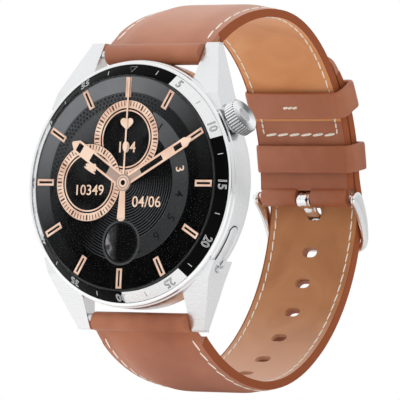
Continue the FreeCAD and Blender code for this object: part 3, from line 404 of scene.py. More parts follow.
rim_steel = grained("rim_steel", (0.90, 0.905, 0.91), 0.09, 1.0, (1500, 4), (0.02, 0.00002),
                    (0.4, 0.75, 0.07, 0.16))
made("polished_rim", turned_on_dial([
    (18.8, 8.0), (22.3, 8.0), (22.3, 8.62), (22.26, 8.76), (22.16, 8.86), (22.02, 8.9),
    (21.66, 8.9), (21.63, 8.2), (19.7, 9.57), (18.8, 9.57)]), "watch_case", rim_steel,
    ["bezel_rim"], crease=50)

insert_metal = Finish("insert_metal", (0.02, 0.02, 0.022), 0.28, Specular_IOR_Level=0.03)
across_dial = insert_metal.parts()
clock = insert_metal.maths("ARCTAN2", across_dial["X"], across_dial["Z"])
clock = insert_metal.maths("FRACT", insert_metal.maths("ADD", insert_metal.maths(
    "DIVIDE", clock, math.tau), 1.0))
# The bright steel sectors are real bare metal placed as painted reflections: fixed angles round
# the insert where a glossy black ring would show the studio's light.
black, painted_reflection_steel = (0.002, 0.002, 0.0022), (0.86, 0.865, 0.87)
painted_reflection_sectors = (25, 66), (140, 178), (240, 300)
sectors = [(0.0, black)]
for start, end in painted_reflection_sectors:
    sectors += [(start / 360, painted_reflection_steel), (end / 360, black)]
insert_metal.feed("Base Color", insert_metal.shades(clock, sectors, "CONSTANT"))
insert_metal.feed("Metallic", insert_metal.shades(clock, [
    (at, (0.95, 0.95, 0.95) if colour == painted_reflection_steel else (0, 0, 0)) for at, colour in sectors],
    "CONSTANT"))
insert_metal.feed("Roughness", insert_metal.spread(insert_metal.noise(
    700, 2, insert_metal.mapped((1, 1, 1))), 0.3, 0.7, 0.2, 0.34))
insert_metal.bump(insert_metal.rings(2600, distortion=0.4), 0.06, 0.00001)
made("insert_with_painted_reflections", turned_on_dial([
    (19.7, 10.21), (19.74, 10.25), (21.56, 8.91), (21.6, 8.85), (21.6, 8.2), (19.7, 9.6)],
    192), "watch_case", insert_metal, ["bezel_insert"])

slope = math.degrees(math.atan2(1.34, 1.82))
figure_radius = 20.66
paint_grain = (4000, 2), (0.1, 0.00001)
pale_paint = grained("engraving_paint", (0.72, 0.73, 0.74), 0.5, 0.0, *paint_grain)
grey_paint = grained("engraving_shadow", (0.17, 0.175, 0.18), 0.5, 0.0, *paint_grain)
on_black, on_painted_reflection = [], []


def same_sector(clock_angle):
    """The figures that share an angle's part of the insert, and so its paint: grey on the
    painted reflection sectors, pale on the black.
    """
    return on_painted_reflection if any(start < clock_angle < end for start, end in painted_reflection_sectors) else on_black


for minute in range(0, 60, 5):
    clock_angle, half_way = minute * 6, minute * 6 + 15
    if minute:
        mark = lettering(str(minute), 1.5, clock_angle, figure_radius, 9.62, slope=slope,
                         line=0.045)
    else:
        mark = bmesh.new()
        corners = [mark.verts.new(p) for p in ((-0.7, 0.6, 0), (0.7, 0.6, 0), (0, -0.7, 0))]
        triangle = mark.faces.new(corners)
        bmesh.ops.inset_region(mark, faces=[triangle], thickness=0.16, use_boundary=True)
        bmesh.ops.delete(mark, geom=[triangle], context="FACES")
        bmesh.ops.translate(mark, vec=(0, 0, 0.08), verts=extruded(mark, mark.faces[:]))
        seat = (Matrix.Translation(clock_place(0, figure_radius, 9.58))
                @ rotation(-slope, "X") @ rotation(90, "X"))
        bmesh.ops.transform(mark, matrix=seat, verts=mark.verts)
    same_sector(clock_angle).append(mark)
    tick = bmesh.new()
    bmesh.ops.create_cube(tick, size=1)
    bmesh.ops.scale(tick, vec=(0.1, 0.04, 0.95), verts=tick.verts)
    seat = (Matrix.Translation(clock_place(half_way, figure_radius, 9.575))
            @ rotation(half_way, "Y") @ rotation(-slope, "X"))
    bmesh.ops.transform(tick, matrix=seat, verts=tick.verts)
    same_sector(half_way).append(tick)
made("minute_figures_pale", joined(on_black), "watch_case", pale_paint)
made("minute_figures_grey", joined(on_painted_reflection), "watch_case", grey_paint)

# --- dial -----------------------------------------------------------------------------
# The display's picture of an analogue dial, built as thin layers on the panel: a plain flange, a
# perforated ring, a ring of day numbers and a finely grooved centre. A painted sheen runs over
# all of them, lightest at 11 o'clock and shaded towards 5.


def flat_ring(inner, outer, low, high, steps=144):
    return turned_on_dial([(inner, low), (outer, low), (outer, high), (inner, high)], steps)


def swung(shape, degrees):
    bmesh.ops.rotate(shape, verts=shape.verts, cent=(0, 0, 0), matrix=rotation(degrees, "Y"))
    return shape


def light_side(finish, per_radius=True):
    """0 to 1 across the dial, highest at 11 o'clock, where the painted sheen makes the picture
    lightest.
    """
    parts = finish.parts()
    total = finish.maths("ADD", finish.maths("MULTIPLY", parts["X"], -0.5),
                         finish.maths("MULTIPLY", parts["Z"], 0.87))
    reach = 0.018
    if per_radius:
        flat = finish.node("ShaderNodeCombineXYZ", {0: parts["X"], 2: parts["Z"]}).outputs[0]
        reach = finish.node("ShaderNodeVectorMath", {0: flat}, operation="LENGTH").outputs[1]
    return finish.spread(finish.maths("DIVIDE", total, reach), -1.0, 1.0)


def dial_finish(name, greys, per_radius=True):
    """A dark display grey with painted light on it: it runs from painted shade on one side to a
    painted sheen on the other.
    """
    finish = Finish(name, (0.03, 0.03, 0.032), 0.6, Specular_IOR_Level=0.0)
    finish.tint = finish.shades(light_side(finish, per_radius), [
        (at, (grey, grey * 1.02, grey * 1.06))
        for at, grey in zip((0.0, 0.25, 0.5, 0.75, 0.97), greys)])
    finish.feed("Base Color", finish.tint)
    finish.bump(finish.noise(9000, 2), 0.05, 0.00001)
    return finish


def on_dial(name, shape, finish, stands_for=()):
    """Lays a piece of the picture on the display."""
    made(name, shape, "watch_case", finish, stands_for)


on_dial("dial_flange", flat_ring(16.45, 19.25, 10.47, 10.53),
        dial_finish("dial_flange_print_and_sheen", (0.003, 0.005, 0.016, 0.09, 0.185)),
        ["display_panel"])
on_dial("dial_pierced_ring", flat_ring(14.1, 16.5, 10.47, 10.5),
        dial_finish("dial_pierced_print_and_sheen", (0.003, 0.005, 0.010, 0.028, 0.068)))
hole_print_and_sheen = Finish("dial_hole_print_and_sheen", (0.003, 0.003, 0.0032), 0.7, Specular_IOR_Level=0.02)
# The printed holes take the same painted sheen, lighter towards 11 o'clock.
hole_print_and_sheen.feed("Base Color", hole_print_and_sheen.shades(light_side(hole_print_and_sheen), (
    (0.3, (0.0005, 0.0005, 0.0005)), (0.95, (0.024, 0.0245, 0.026)))))
dots = bmesh.new()
dots_round = 116
for row in range(3):
    for number in range(dots_round):
        centre = clock_place((number + row * 0.5) * 360 / dots_round, 14.65 + row * 0.64, 10.51)
        bmesh.ops.create_cone(dots, cap_ends=True, segments=8, radius1=0.25, radius2=0.25,
                              depth=0.02, matrix=Matrix.Translation(centre)
                              @ rotation(90, "X"))
on_dial("dial_perforations", dots, hole_print_and_sheen)

centre_print_and_sheen = dial_finish("dial_centre_print_and_sheen", (0.002, 0.003, 0.006, 0.032, 0.12), False)
# The grooves show as pale lines only on the shaded side: painted glints.
groove_painted_glint = centre_print_and_sheen.maths(
    "MULTIPLY", centre_print_and_sheen.spread(centre_print_and_sheen.rings(640.0), 0.5, 1.0),
    centre_print_and_sheen.spread(light_side(centre_print_and_sheen), 0.34, 0.1))
centre_print_and_sheen.feed("Base Color", centre_print_and_sheen.mixed(
    groove_painted_glint, centre_print_and_sheen.tint, (0.085, 0.085, 0.092, 1)))
on_dial("dial_centre", flat_ring(0, 14.2, 10.46, 10.485), centre_print_and_sheen)

day_print_and_sheen = dial_finish("dial_day_print_and_sheen", (0.034, 0.046, 0.072, 0.11, 0.16))
sector = bmesh.new()
corners = [sector.verts.new(p) for p in ((10.6, -10.48, 0), (14.0, -10.48, 0),
                                         (14.0, -10.52, 0), (10.6, -10.52, 0))]
band_face = sector.faces.new(corners)
swung(sector, -66)
bmesh.ops.spin(sector, geom=[band_face], cent=(0, 0, 0), axis=(0, 1, 0),
               angle=math.radians(148), steps=60)
on_dial("dial_day_ring", sector, day_print_and_sheen)
ink = grained("dial_dark_ink", (0.004, 0.004, 0.0045), 0.5, 0.0, (6000, 2), (0.1, 0.00001),
              Specular_IOR_Level=0.1)
on_dial("day_numbers", joined([
    lettering(str(day), 1.75, 36 + (day - 1) * 21, 12.25, 10.55)
    for day in (1, 2, 4, 5, 6, 7)]), ink)

# --- hour markers and small dials -------------------------------------------------------
# Rose-gold bars with a black slot at each hour, two registers with a minute track, a
# moon disc, and the figures of pulse, steps and date.

rose_gold = Finish("rose_gold", (0.80, 0.54, 0.40), 0.32, 0.35)
gold_play = rose_gold.noise(420, 2)
rose_gold.feed("Base Color", rose_gold.shades(gold_play, (
    (0.3, (0.70, 0.43, 0.31)), (0.52, (0.84, 0.57, 0.43)), (0.7, (0.92, 0.69, 0.55)))))
rose_gold.bump(rose_gold.noise(3000), 0.05, 0.00001)
cream = Finish("cream_figures", (0.98, 0.84, 0.72), 0.45, Specular_IOR_Level=0.2)
cream.feed("Base Color", cream.shades(cream.noise(500), (
    (0.35, (0.84, 0.58, 0.42)), (0.6, (0.93, 0.72, 0.56)))))


def bar(width, start, end, low, high, sideways=0.0):
    """A thin plate that points to 12 o'clock."""
    plate = bmesh.new()
    bmesh.ops.create_cube(plate, size=1)
    bmesh.ops.scale(plate, vec=(width, high - low, end - start), verts=plate.verts)
    bmesh.ops.translate(plate, verts=plate.verts,
                        vec=(sideways, -(low + high) / 2, (start + end) / 2))
    return plate


def moved(shape, x, z):
    bmesh.ops.translate(shape, verts=shape.verts, vec=(x, 0, z))
    return shape


def pebble(shape, segments, rings, place, size):
    """A flattened round of given half-sizes."""
    bmesh.ops.create_uvsphere(shape, u_segments=segments, v_segments=rings, radius=1,
                              matrix=Matrix.Translation(place) @ Matrix.Diagonal((*size, 1)))


on_dial("hour_markers", joined([
    swung(bar(wide, start, end, 10.53, 10.62, off), hour * 30)
    for hour in range(12) for wide, start, end, off in (
        (0.38, 15.5, 19.1, -0.4), (0.38, 15.5, 19.1, 0.4), (0.5, 15.5, 15.85, 0.0),
        (0.5, 18.75, 19.1, 0.0))]), rose_gold)
on_dial("marker_slots", joined([swung(bar(0.46, 15.8, 18.8, 10.52, 10.56), hour * 30)
                                for hour in range(12)]), ink)

brown_ink = grained("dial_brown_ink", (0.075, 0.042, 0.032), 0.5, 0.0, (6000, 2),
                    (0.1, 0.00001), Specular_IOR_Level=0.05)
register_print = Finish("register_print", (0.01, 0.01, 0.011), 0.42,
                        Specular_IOR_Level=0.05)
register_print.feed("Base Color", register_print.shades(register_print.noise(
    110, 1, distortion=1.5), ((0.4, (0.002, 0.002, 0.0022)), (0.62, (0.013, 0.0132, 0.014)))))
for name, x, z, lift_up in (("pulse", 0.0, 7.95, 0.0), ("steps", -7.75, 0.0, 0.05)):
    low = 10.53 + lift_up
    on_dial(f"{name}_register", moved(flat_ring(0, 7.15, low - 0.03, low, 96), x, z),
            register_print)
    on_dial(f"{name}_rings", joined([
        moved(flat_ring(5.6, 7.0, low, low + 0.05, 96), x, z),
        moved(flat_ring(5.05, 5.3, low, low + 0.04, 96), x, z)]), rose_gold)
    ticks = [swung(bar(0.17 if tick % 5 else 0.34, 6.0 if tick % 5 else 5.9, 6.85,
                       low + 0.05, low + 0.065), tick * 6) for tick in range(60)]
    on_dial(f"{name}_track", moved(joined(ticks), x, z), brown_ink)

heart = bmesh.new()
outline_points = []
for step in range(28):
    at = math.tau * step / 28
    outline_points.append((1.4 * math.sin(at) ** 3, -10.56,
                           (13 * math.cos(at) - 5 * math.cos(2 * at) - 2 * math.cos(3 * at)
                            - math.cos(4 * at)) / 16 * 1.3))
heart_face = heart.faces.new([heart.verts.new(p) for p in outline_points])
bmesh.ops.translate(heart, vec=(0, -0.05, 0), verts=extruded(heart, [heart_face]))
figures = [moved(heart, 0, 10.75)]
shoe = bmesh.new()
for long, tall, at_x, at_z in ((1.3, 0.5, 0.0, 0.0), (0.62, 0.75, 0.55, 0.35),
                               (1.45, 0.22, 0.05, -0.55)):
    pebble(shoe, 20, 10, (at_x, -10.64, at_z), (long, 0.06, tall))
swung(shoe, 28)
figures.append(moved(shoe, -7.4, 2.75))
for words, tall, x, z, height in (("104", 1.95, 0.15, 6.35, 10.54),
                                  ("10349", 1.85, -7.55, -1.45, 10.59),
                                  ("04/06", 1.95, 5.1, -3.5, 10.50)):
    figures.append(moved(lettering(words, tall, 0, 0, height, upright=True, thick=0.04), x, z))
figures.append(lettering("3", 1.75, 78, 12.25, 10.54, thick=0.03))
on_dial("dial_figures", joined(figures), cream)

moon_rock = Finish("moon_disc", (0.1, 0.1, 0.1), 0.8, Specular_IOR_Level=0.05)
craters = moon_rock.node("ShaderNodeTexVoronoi", {
    "Vector": moon_rock.place, "Scale": 900.0}).outputs[0]
mottled = moon_rock.maths("MULTIPLY", moon_rock.spread(craters, 0.0, 0.7, 0.5, 1.0),
                          moon_rock.spread(moon_rock.noise(1100, 4), 0.3, 0.7, 0.6, 1.3))
sun_side = moon_rock.spread(moon_rock.parts()["X"], -0.0007, -0.0036)
moon_rock.feed("Base Color", moon_rock.shades(moon_rock.maths("MULTIPLY", mottled, sun_side), (
    (0.0, (0.002, 0.002, 0.002)), (0.45, (0.06, 0.058, 0.06)), (1.0, (0.42, 0.41, 0.42)))))
moon, moon_down = bmesh.new(), -10.85
pebble(moon, 48, 24, (0, -10.5, moon_down), (3.45, 3.45 * 0.04, 3.45))
on_dial("moon_disc", moon, moon_rock)
on_dial("moon_sky", moved(flat_ring(0, 3.8, 10.47, 10.53, 72), 0, moon_down), ink)
on_dial("moon_ring", moved(flat_ring(3.75, 4.1, 10.47, 10.58, 72), 0, moon_down),
        grained("moon_ring_print", (0.032, 0.033, 0.035), 0.4, 0.0, (5000, 2),
                (0.1, 0.00001)))

# --- hands ----------------------------------------------------------------------------
# Skeleton hour and minute hands with a blanked-out root, a slim second hand with an
# oval eye and a wide tail, stacked on one hub.


def pointed(width, start, end, low, high, tip):
    """A plate like bar() whose outer end comes to a point over a tip length."""
    plate = bar(width, start, end, low, high)
    outer = [v for v in plate.verts if v.co.z > (start + end) / 2]
    end_face = [f for f in plate.faces if all(v in outer for v in f.verts)]
    moved_on = bmesh.ops.extrude_discrete_faces(plate, faces=end_face)["faces"]
    for face in moved_on:
        for vert in face.verts:
            vert.co.z += tip
            vert.co.x *= 0.16
    return plate


hand_gold = Finish("hand_gold", (0.88, 0.62, 0.48), 0.28, 0.25)
hand_gold.feed("Base Color", hand_gold.shades(hand_gold.noise(300, 1), (
    (0.35, (0.82, 0.54, 0.40)), (0.6, (0.92, 0.68, 0.53)))))
hand_gold.bump(hand_gold.noise(4000), 0.04, 0.00001)
root_gold = grained("hand_root_gold", (0.42, 0.29, 0.235), 0.5, 0.0, *paint_grain)


def skeleton_hand(name, clock_angle, low, window, block, gap, reach, width):
    """A hand at a clock angle: an open root, a solid block, a second window, a point."""
    high, rail, point = low + 0.04, 0.4, 1.3
    inner, outer = ([bar(rail, start, end, low, high, side * (width - rail) / 2)
                     for side in (-1, 1)] for start, end in ((1.0, window), (block, gap)))
    parts = inner + [bar(width, window, block, low, high)] + outer
    parts.append(pointed(width, gap, reach - point, low, high, point))
    on_dial(f"{name}_hand", swung(joined(parts), clock_angle), hand_gold)
    for suffix, start, end, thick, finish in (("root", 1.2, 4.2, 0.02, root_gold),
                                              ("backing", 4.2, gap, 0.01, ink)):
        on_dial(f"{name}_hand_{suffix}", swung(bar(
            width - rail, start, end, low, low + thick), clock_angle), finish)


skeleton_hand("hour", 302.0, 10.66, 8.7, 11.2, 12.4, 13.8, 2.4)
skeleton_hand("minute", 60.5, 10.72, 9.4, 12.3, 14.1, 16.4, 1.8)
second_low, second_high = 10.82, 10.85
needle, tail, tail_tip = (bar(wide, start, end, second_low, second_high)
                          for wide, start, end in ((0.34, 0.0, 19.0), (1.0, -6.6, 0.0),
                                                   (1.75, -6.6, -6.5)))
for vert in tail.verts:
    if vert.co.z < -3:
        vert.co.x *= 1.75
eye = bmesh.new()
pebble(eye, 24, 8, (0, -10.84, 6.55), (0.55, 0.02, 0.95))
for vert in tail_tip.verts:
    if vert.co.z < -6.55:
        vert.co.z -= 0.35
        vert.co.x *= 0.45
on_dial("second_hand", swung(joined([needle, tail, eye, tail_tip]), 0.6), hand_gold)
on_dial("hand_hub", turned_on_dial([
    (0.5, 10.7), (1.6, 10.7), (1.6, 10.84), (1.48, 10.86), (0.5, 10.86)], 48), root_gold)
on_dial("hub_rings", joined([flat_ring(1.1, 1.25, 10.86, 10.88, 48),
                             flat_ring(0.5, 0.82, 10.86, 10.89, 48)]), hand_gold)
on_dial("hub_pin", flat_ring(0, 0.49, 10.7, 10.87, 32), ink)

# --- cover glass ----------------------------------------------------------------------
# One ground and coated glass, with a chamfered edge, that stands proud of the bezel on
# its rubber gasket.

coated_glass = Finish("coated_glass", (1, 1, 1), 0.0, Transmission_Weight=1.0, IOR=1.05)
coated_glass.feed("Base Color", coated_glass.shades(coated_glass.noise(60, 3), (
    (0.3, (0.985, 0.99, 0.99)), (0.7, (1.0, 1.0, 1.0)))))
light_through = coated_glass.node("ShaderNodeBsdfTransparent")
shadow_ray = coated_glass.node("ShaderNodeLightPath").outputs["Is Shadow Ray"]
coated_glass.tree.links.new(
    coated_glass.node("ShaderNodeMixShader", {
        0: shadow_ray, 1: coated_glass.shader.outputs[0],
        2: light_through.outputs[0]}).outputs[0],
    coated_glass.tree.nodes["Material Output"].inputs["Surface"])
made("front_glass", turned_on_dial([
    (0, 11.4), (18.8, 11.4), (18.95, 11.38), (19.5, 11.06), (19.6, 10.96), (19.6, 10.5),
    (19.3, 10.5), (19.3, 10.93), (0, 10.93)], 192), "watch_case", coated_glass,
    ["cover_glass"])

# --- crown and side button --------------------------------------------------------------
# The crown is turned from steel with a coined edge and a finely faced end, and slides and turns
# in its tube. Its colour carries painted light: a two-lobed glint on the end and light and dark
# stripes round the coining. The button is a flush pill of the same steel.

crown_clock, button_clock, side_height = 60, 120.5, 5.6


def ring_of(shape, points):
    """A closed ring of edges through points."""
    corners = [shape.verts.new(point) for point in points]
    return [shape.edges.new(pair) for pair in zip(corners, corners[1:] + corners[:1])]


def skinned(shape, rings, closed=False):
    """Covers a run of rings, whose ends are capped or, if it is closed, meet."""
    for first, second in zip(rings, rings[1:] + rings[:1] * closed):
        bmesh.ops.bridge_loops(shape, edges=first + second)
    if not closed:
        for edges in (rings[0], rings[-1]):
            shape.faces.new(list({v: None for e in edges for v in e.verts}))


crown_steel = Finish("crown_steel", (0.84, 0.85, 0.86), 0.2, 1.0)
along_crown = crown_steel.mapped(turned=(0, math.radians(-crown_clock), 0),
                                 moved=(0, side_height * 0.001, 0))
crown_parts = crown_steel.parts(along_crown)
# Painted light on the crown: a glint in two lobes across the end, and painted highlights and
# shade alternating round the coined edge.
round_face = crown_steel.maths("ARCTAN2", crown_parts["X"], crown_parts["Y"])
glint = crown_steel.maths("SINE", crown_steel.maths("MULTIPLY", round_face, 2.0))
on_face = crown_steel.maths("GREATER_THAN", crown_parts["Z"], 0.02548)
glint = crown_steel.maths("MULTIPLY", crown_steel.spread(glint, -0.9, 0.9), on_face)
knurl_painted_shine = crown_steel.spread(crown_steel.maths("SINE", crown_steel.maths(
    "MULTIPLY", round_face, 36.0)), -0.3, 0.9)
side_painted_shine = crown_steel.maths("MULTIPLY", crown_steel.maths("SUBTRACT", 1.0, on_face), knurl_painted_shine)
crown_steel.feed("Base Color", crown_steel.shades(crown_steel.maths("ADD", glint, side_painted_shine), (
    (0.0, (0.16, 0.165, 0.17)), (0.4, (0.55, 0.56, 0.57)), (1.0, (0.95, 0.95, 0.96)))))
crown_steel.bump(crown_steel.rings(900.0, along_crown, axis="Z"), 0.04, 0.00001)
dress(crown_steel, "crown")
dress(grained("button_steel", (0.80, 0.81, 0.83), 0.2, 1.0, (1200, 3), (0.1, 0.00002),
              stretch=(0.1, 3, 0.1)), "side_button")
softened("side_button", 0.1, 2)

# A thin ring of dark rubber round the button; it also stands for the shade in the groove round
# it, so its darkness is partly painted shade.
outwards, sideways = clock_place(button_clock, 1, 0), clock_place(button_clock + 90, 1, 0)
seal_radius, seal_end, seal_round = 22.53, 3.3, 1.175
seal_and_shade = bmesh.new()
seal_and_shade_rings = []
for step in range(96):
    at = math.tau * step / 96
    lean_x = math.cos(at) * seal_round + math.copysign(seal_end, math.cos(at)) * min(
        1.0, abs(math.cos(at)) * 8)
    middle = (outwards * math.sqrt(seal_radius ** 2 - lean_x ** 2) + sideways * lean_x
              - Vector((0, side_height + math.sin(at) * seal_round, 0)))
    normal = (sideways * math.cos(at) - Vector((0, math.sin(at), 0))).normalized()
    seal_and_shade_rings.append(ring_of(seal_and_shade, [middle + normal * a + outwards * b for a, b in (
        (-0.1, 0.0), (0.0, 0.03), (0.1, 0.0), (0.1, -0.4), (-0.1, -0.4))]))
skinned(seal_and_shade, seal_and_shade_rings, closed=True)
rubber = grained("seal_rubber", (0.012, 0.012, 0.013), 0.6, 0.0, (2500, 2), (0.2, 0.00003))
made("button_seal_and_shade", seal_and_shade, "watch_case", rubber)

# --- strap leather --------------------------------------------------------------------
# Two halves of waxed brown cowhide, padded and domed near the lugs, lined with tan nubuck,
# sewn along both edges, skived and painted at the rim. Each is folded round its bar.

leather = Finish("waxed_leather", (0.34, 0.106, 0.046), 0.42, Specular_IOR_Level=0.4)
pull_up = leather.noise(38, 5, distortion=0.6)
fine_tone = leather.noise(260, 3)
leather_tone = leather.shades(leather.maths("ADD", leather.maths("MULTIPLY", pull_up, 0.75),
                                            leather.maths("MULTIPLY", fine_tone, 0.25)), (
    (0.32, (0.265, 0.078, 0.033)), (0.5, (0.35, 0.112, 0.049)), (0.68, (0.43, 0.157, 0.078))))
# Near the loop's top and bottom the leather is mixed towards a pale pink: a painted highlight,
# not paler leather.
bend_painted_highlight = leather.spread(leather.maths("ABSOLUTE", leather.maths(
    "ADD", leather.parts()["Z"], 0.002)), 0.025, 0.035, 0.0, 0.5)
leather.feed("Base Color", leather.mixed(bend_painted_highlight, leather_tone, (0.68, 0.38, 0.28, 1)))
leather.feed("Roughness", leather.spread(pull_up, 0.3, 0.7, 0.36, 0.52))
cells = leather.node("ShaderNodeTexVoronoi", {"Vector": leather.place, "Scale": 1500.0},
                     feature="DISTANCE_TO_EDGE").outputs[0]
leather.bump(leather.spread(cells, 0.0, 0.25), 0.22, 0.00005)
leather.bump(leather.noise(2600, 4), 0.15, 0.00004)

nubuck = Finish("tan_nubuck", (0.5, 0.26, 0.125), 0.75, Sheen_Weight=0.25,
                Sheen_Roughness=0.5, Specular_IOR_Level=0.2)
nap = nubuck.noise(90, 5, distortion=0.8)
nap_tone = nubuck.shades(nap, ((0.3, (0.37, 0.152, 0.058)), (0.5, (0.44, 0.19, 0.075)),
                               (0.72, (0.52, 0.25, 0.112))))
# The upper lining gets a brighter, more orange tone: painted light where the loop's inside gets
# little. Its lowest part is mixed to a pale pink: a painted highlight.
painted_light_upper_tone = nubuck.shades(nap, ((0.3, (0.60, 0.245, 0.088)), (0.5, (0.68, 0.295, 0.113)),
                                 (0.72, (0.74, 0.36, 0.16))))
nubuck_high = nubuck.parts()["Z"]
painted_highlight_lower_tone = nubuck.mixed(nubuck.spread(nubuck_high, -0.019, -0.033, 0.0, 0.8), nap_tone,
                           (0.78, 0.46, 0.32, 1))
nubuck.feed("Base Color", nubuck.mixed(nubuck.spread(nubuck_high, -0.006, 0.014),
                                       painted_highlight_lower_tone, painted_light_upper_tone))
nubuck.bump(nubuck.noise(5200, 3), 0.35, 0.00005)

edge_paint = grained("edge_paint", (0.30, 0.078, 0.026), 0.6, 0.0, (1800, 3),
                     (0.2, 0.00005), Specular_IOR_Level=0.12)
thread = Finish("waxed_thread", (0.90, 0.86, 0.75), 0.6)
twist = thread.node("ShaderNodeTexWave", {"Vector": thread.place, "Scale": 900.0,
                                          "Distortion": 2.0}).outputs[0]
thread.feed("Base Color", thread.shades(twist, ((0.0, (0.80, 0.74, 0.61)),
                                                (1.0, (0.96, 0.93, 0.84)))))
thread.bump(twist, 0.4, 0.00004)

loop_middle, half_height = 22.0, 33.0
top_rise, bottom_drop = 0.4, 0.85
short_depth, long_depth = 27.0, 30.5
leather_thick, padded_thick, lining_thick, between = 1.9, 2.6, 0.7, 0.25
bar_place, bar_height = 24.0, 3.4
buckle_bar = Vector((0.3, 49.8, 2.4))


def unit(value):
    return min(1.0, max(0.0, value))


def oval(degrees, depth):
    at = math.radians(degrees)
    tall = half_height + (top_rise if degrees > 0 else bottom_drop) * math.sin(at) ** 2
    if abs(degrees) > 125:
        tall -= (top_rise if degrees > 0 else bottom_drop) * 0.67 * (abs(degrees) - 125) / 12
    return 1 / math.hypot(math.cos(at) / depth, math.sin(at) / tall)


def short_line(degrees):
    """Wrist side of the 12 o'clock half, from the loop's middle."""
    return oval(degrees, short_depth if abs(degrees) < 90 else half_height)


def long_line(degrees):
    """Wrist side of the 6 o'clock half, which climbs over the other at the clasp."""
    if degrees <= 0:
        return oval(degrees, long_depth if degrees > -90 else half_height)
    over = short_line(degrees) + leather_thick + between
    if degrees >= 14:
        return over
    rest = long_depth - (short_depth + leather_thick + between)
    return over + rest * (1 + math.cos(math.pi * degrees / 14)) / 2


def on_loop(degrees, radius, x=0.0):
    """A point of the loop; its closed end sits 0.3 mm over to the crown's side."""
    at = math.radians(degrees)
    x += 0.3 * unit((125 - abs(degrees)) / 45)
    return Vector((x, loop_middle + radius * math.cos(at), radius * math.sin(at)))


def half_width(y):
    """Half the strap's width at a distance behind the case: 22 mm narrowing to 19.6."""
    share = unit((y - 4.0) / 36.0)
    return 11.0 - 1.2 * share


def padding(degrees):
    """Full thickness of a half at an angle: thicker towards the lugs."""
    past = unit((abs(degrees) - 90) / 46.5)
    return leather_thick + (padded_thick - leather_thick) * math.sin(past * math.pi / 2) ** 2


def stadium(across, along):
    """The point of a punched hole's outline, 3.4 by 2 mm, in a direction from its middle."""
    across, along = across / math.hypot(across, along), along / math.hypot(across, along)
    if abs(along) > 0.82:
        reach = 1 / abs(along)
    else:
        reach = 0.7 * abs(across) + math.sqrt(1 - 0.49 * along * along)
    return across * reach, along * reach


def pierce(sheet, low, high, line, rows, angle):
    """Opens a rounded hole in a strip's flat grid; the one in wear is stretched."""
    per_row = math.radians(abs(high - low)) / rows * line(angle)
    stretched = 1.35 if angle > -3 else 1.0
    cells_along = math.ceil(1.25 * stretched / per_row)
    centre = (round((angle - low) / (high - low) * rows)) / rows * 2 - 1
    near = [f for f in sheet.faces
            if abs(f.calc_center_median().x) < 0.2
            and abs(f.calc_center_median().y - centre) < cells_along * 2 / rows]
    bmesh.ops.delete(sheet, geom=near, context="FACES")
    rim = [e for e in sheet.edges if len(e.link_faces) == 1
           and all(abs(v.co.x) < 0.21
                   and abs(v.co.y - centre) < (cells_along + 0.1) * 2 / rows
                   for v in e.verts)]
    inner = {}
    for vert in dict.fromkeys(v for e in rim for v in e.verts):
        across, along = vert.co.x * 10, (vert.co.y - centre) / 2 * rows * per_row
        x, y = stadium(across, along / stretched)
        inner[vert] = sheet.verts.new((x / 10, centre + y * stretched / per_row / rows * 2, 0))
    for edge in rim:
        first, second = edge.verts
        sheet.faces.new((first, second, inner[second], inner[first]))
    bmesh.ops.recalc_face_normals(sheet, faces=sheet.faces)


def strip(low, high, line, under, over, narrower=0.0, tip=0.0, rows=150, columns=20,
          dome=None, holes=(), inside=None, side=1):
    """A closed strip of leather along the loop, from a flat grid bent over the line."""
    sheet = bmesh.new()
    bmesh.ops.create_grid(sheet, x_segments=columns, y_segments=rows, size=1)
    for angle in holes:
        pierce(sheet, low, high, line, rows, angle)
    raised = set(extruded(sheet, sheet.faces[:]))
    for vert in sheet.verts:
        across, along = vert.co.x, (vert.co.y + 1) / 2
        angle = low + (high - low) * along
        radius = line(angle) + (over(angle) if vert in raised else under(angle))
        middle = on_loop(angle, line(angle))
        width = half_width(middle.y) - narrower
        if tip:
            length_left = (1 - along) * abs(high - low) / 57.3 * line(high)
            if length_left < tip:
                width *= 1 - 0.5 * (1 - length_left / tip) ** 2.2
        if vert in raised and dome:
            radius += dome(angle, across)
        if inside is None:
            vert.co = on_loop(angle, radius, across * width)
        else:
            start = inside if inside > 0 else width + inside
            vert.co = on_loop(angle, radius, side * (start + (width - start) * (across + 1) / 2))
    return sheet


def domed(angle, across):
    """The padded crown: flat stitched margins, a raised middle that fades at the clasp."""
    near_lugs = unit((abs(angle) - 52) / 50)
    inside = unit((0.84 - abs(across)) / 0.3)
    edge = max(0.0, (abs(across) - 0.93) / 0.07)
    swell = 0.8 * near_lugs * math.sin(inside * math.pi / 2) ** 1.2
    return swell - 0.35 * near_lugs - 0.22 * edge ** 2


def rod(radius, long, place, soft, segments, steps):
    """A fold's round, across the strap, with softened ends."""
    fold = bmesh.new()
    bmesh.ops.create_cone(fold, cap_ends=True, segments=segments, radius1=radius,
                          radius2=radius, depth=long,
                          matrix=Matrix.Translation(place) @ rotation(90, "Y"))
    rims = [e for e in fold.edges if e.calc_face_angle(0) > 0.6]
    bmesh.ops.bevel(fold, geom=rims, offset=soft, affect="EDGES", segments=steps,
                    profile=0.5, material=-1)
    return fold


def roll(end):
    """The fold round a spring bar; the lower one hangs a little further out."""
    radius, high = (2.0, bar_place) if end > 0 else (1.75, -bar_place - 0.7)
    return rod(radius, 20.6, (0.7, radius - 2.0 - bar_height, high), 0.35, 48, 3)


def bent(name, shape, finish, stands_for=(), crease=40):
    """Finishes a piece of the strap, on no body, with its placing baked into the mesh."""
    item = made(name, shape, None, finish, stands_for, crease)
    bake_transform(item)
    return item


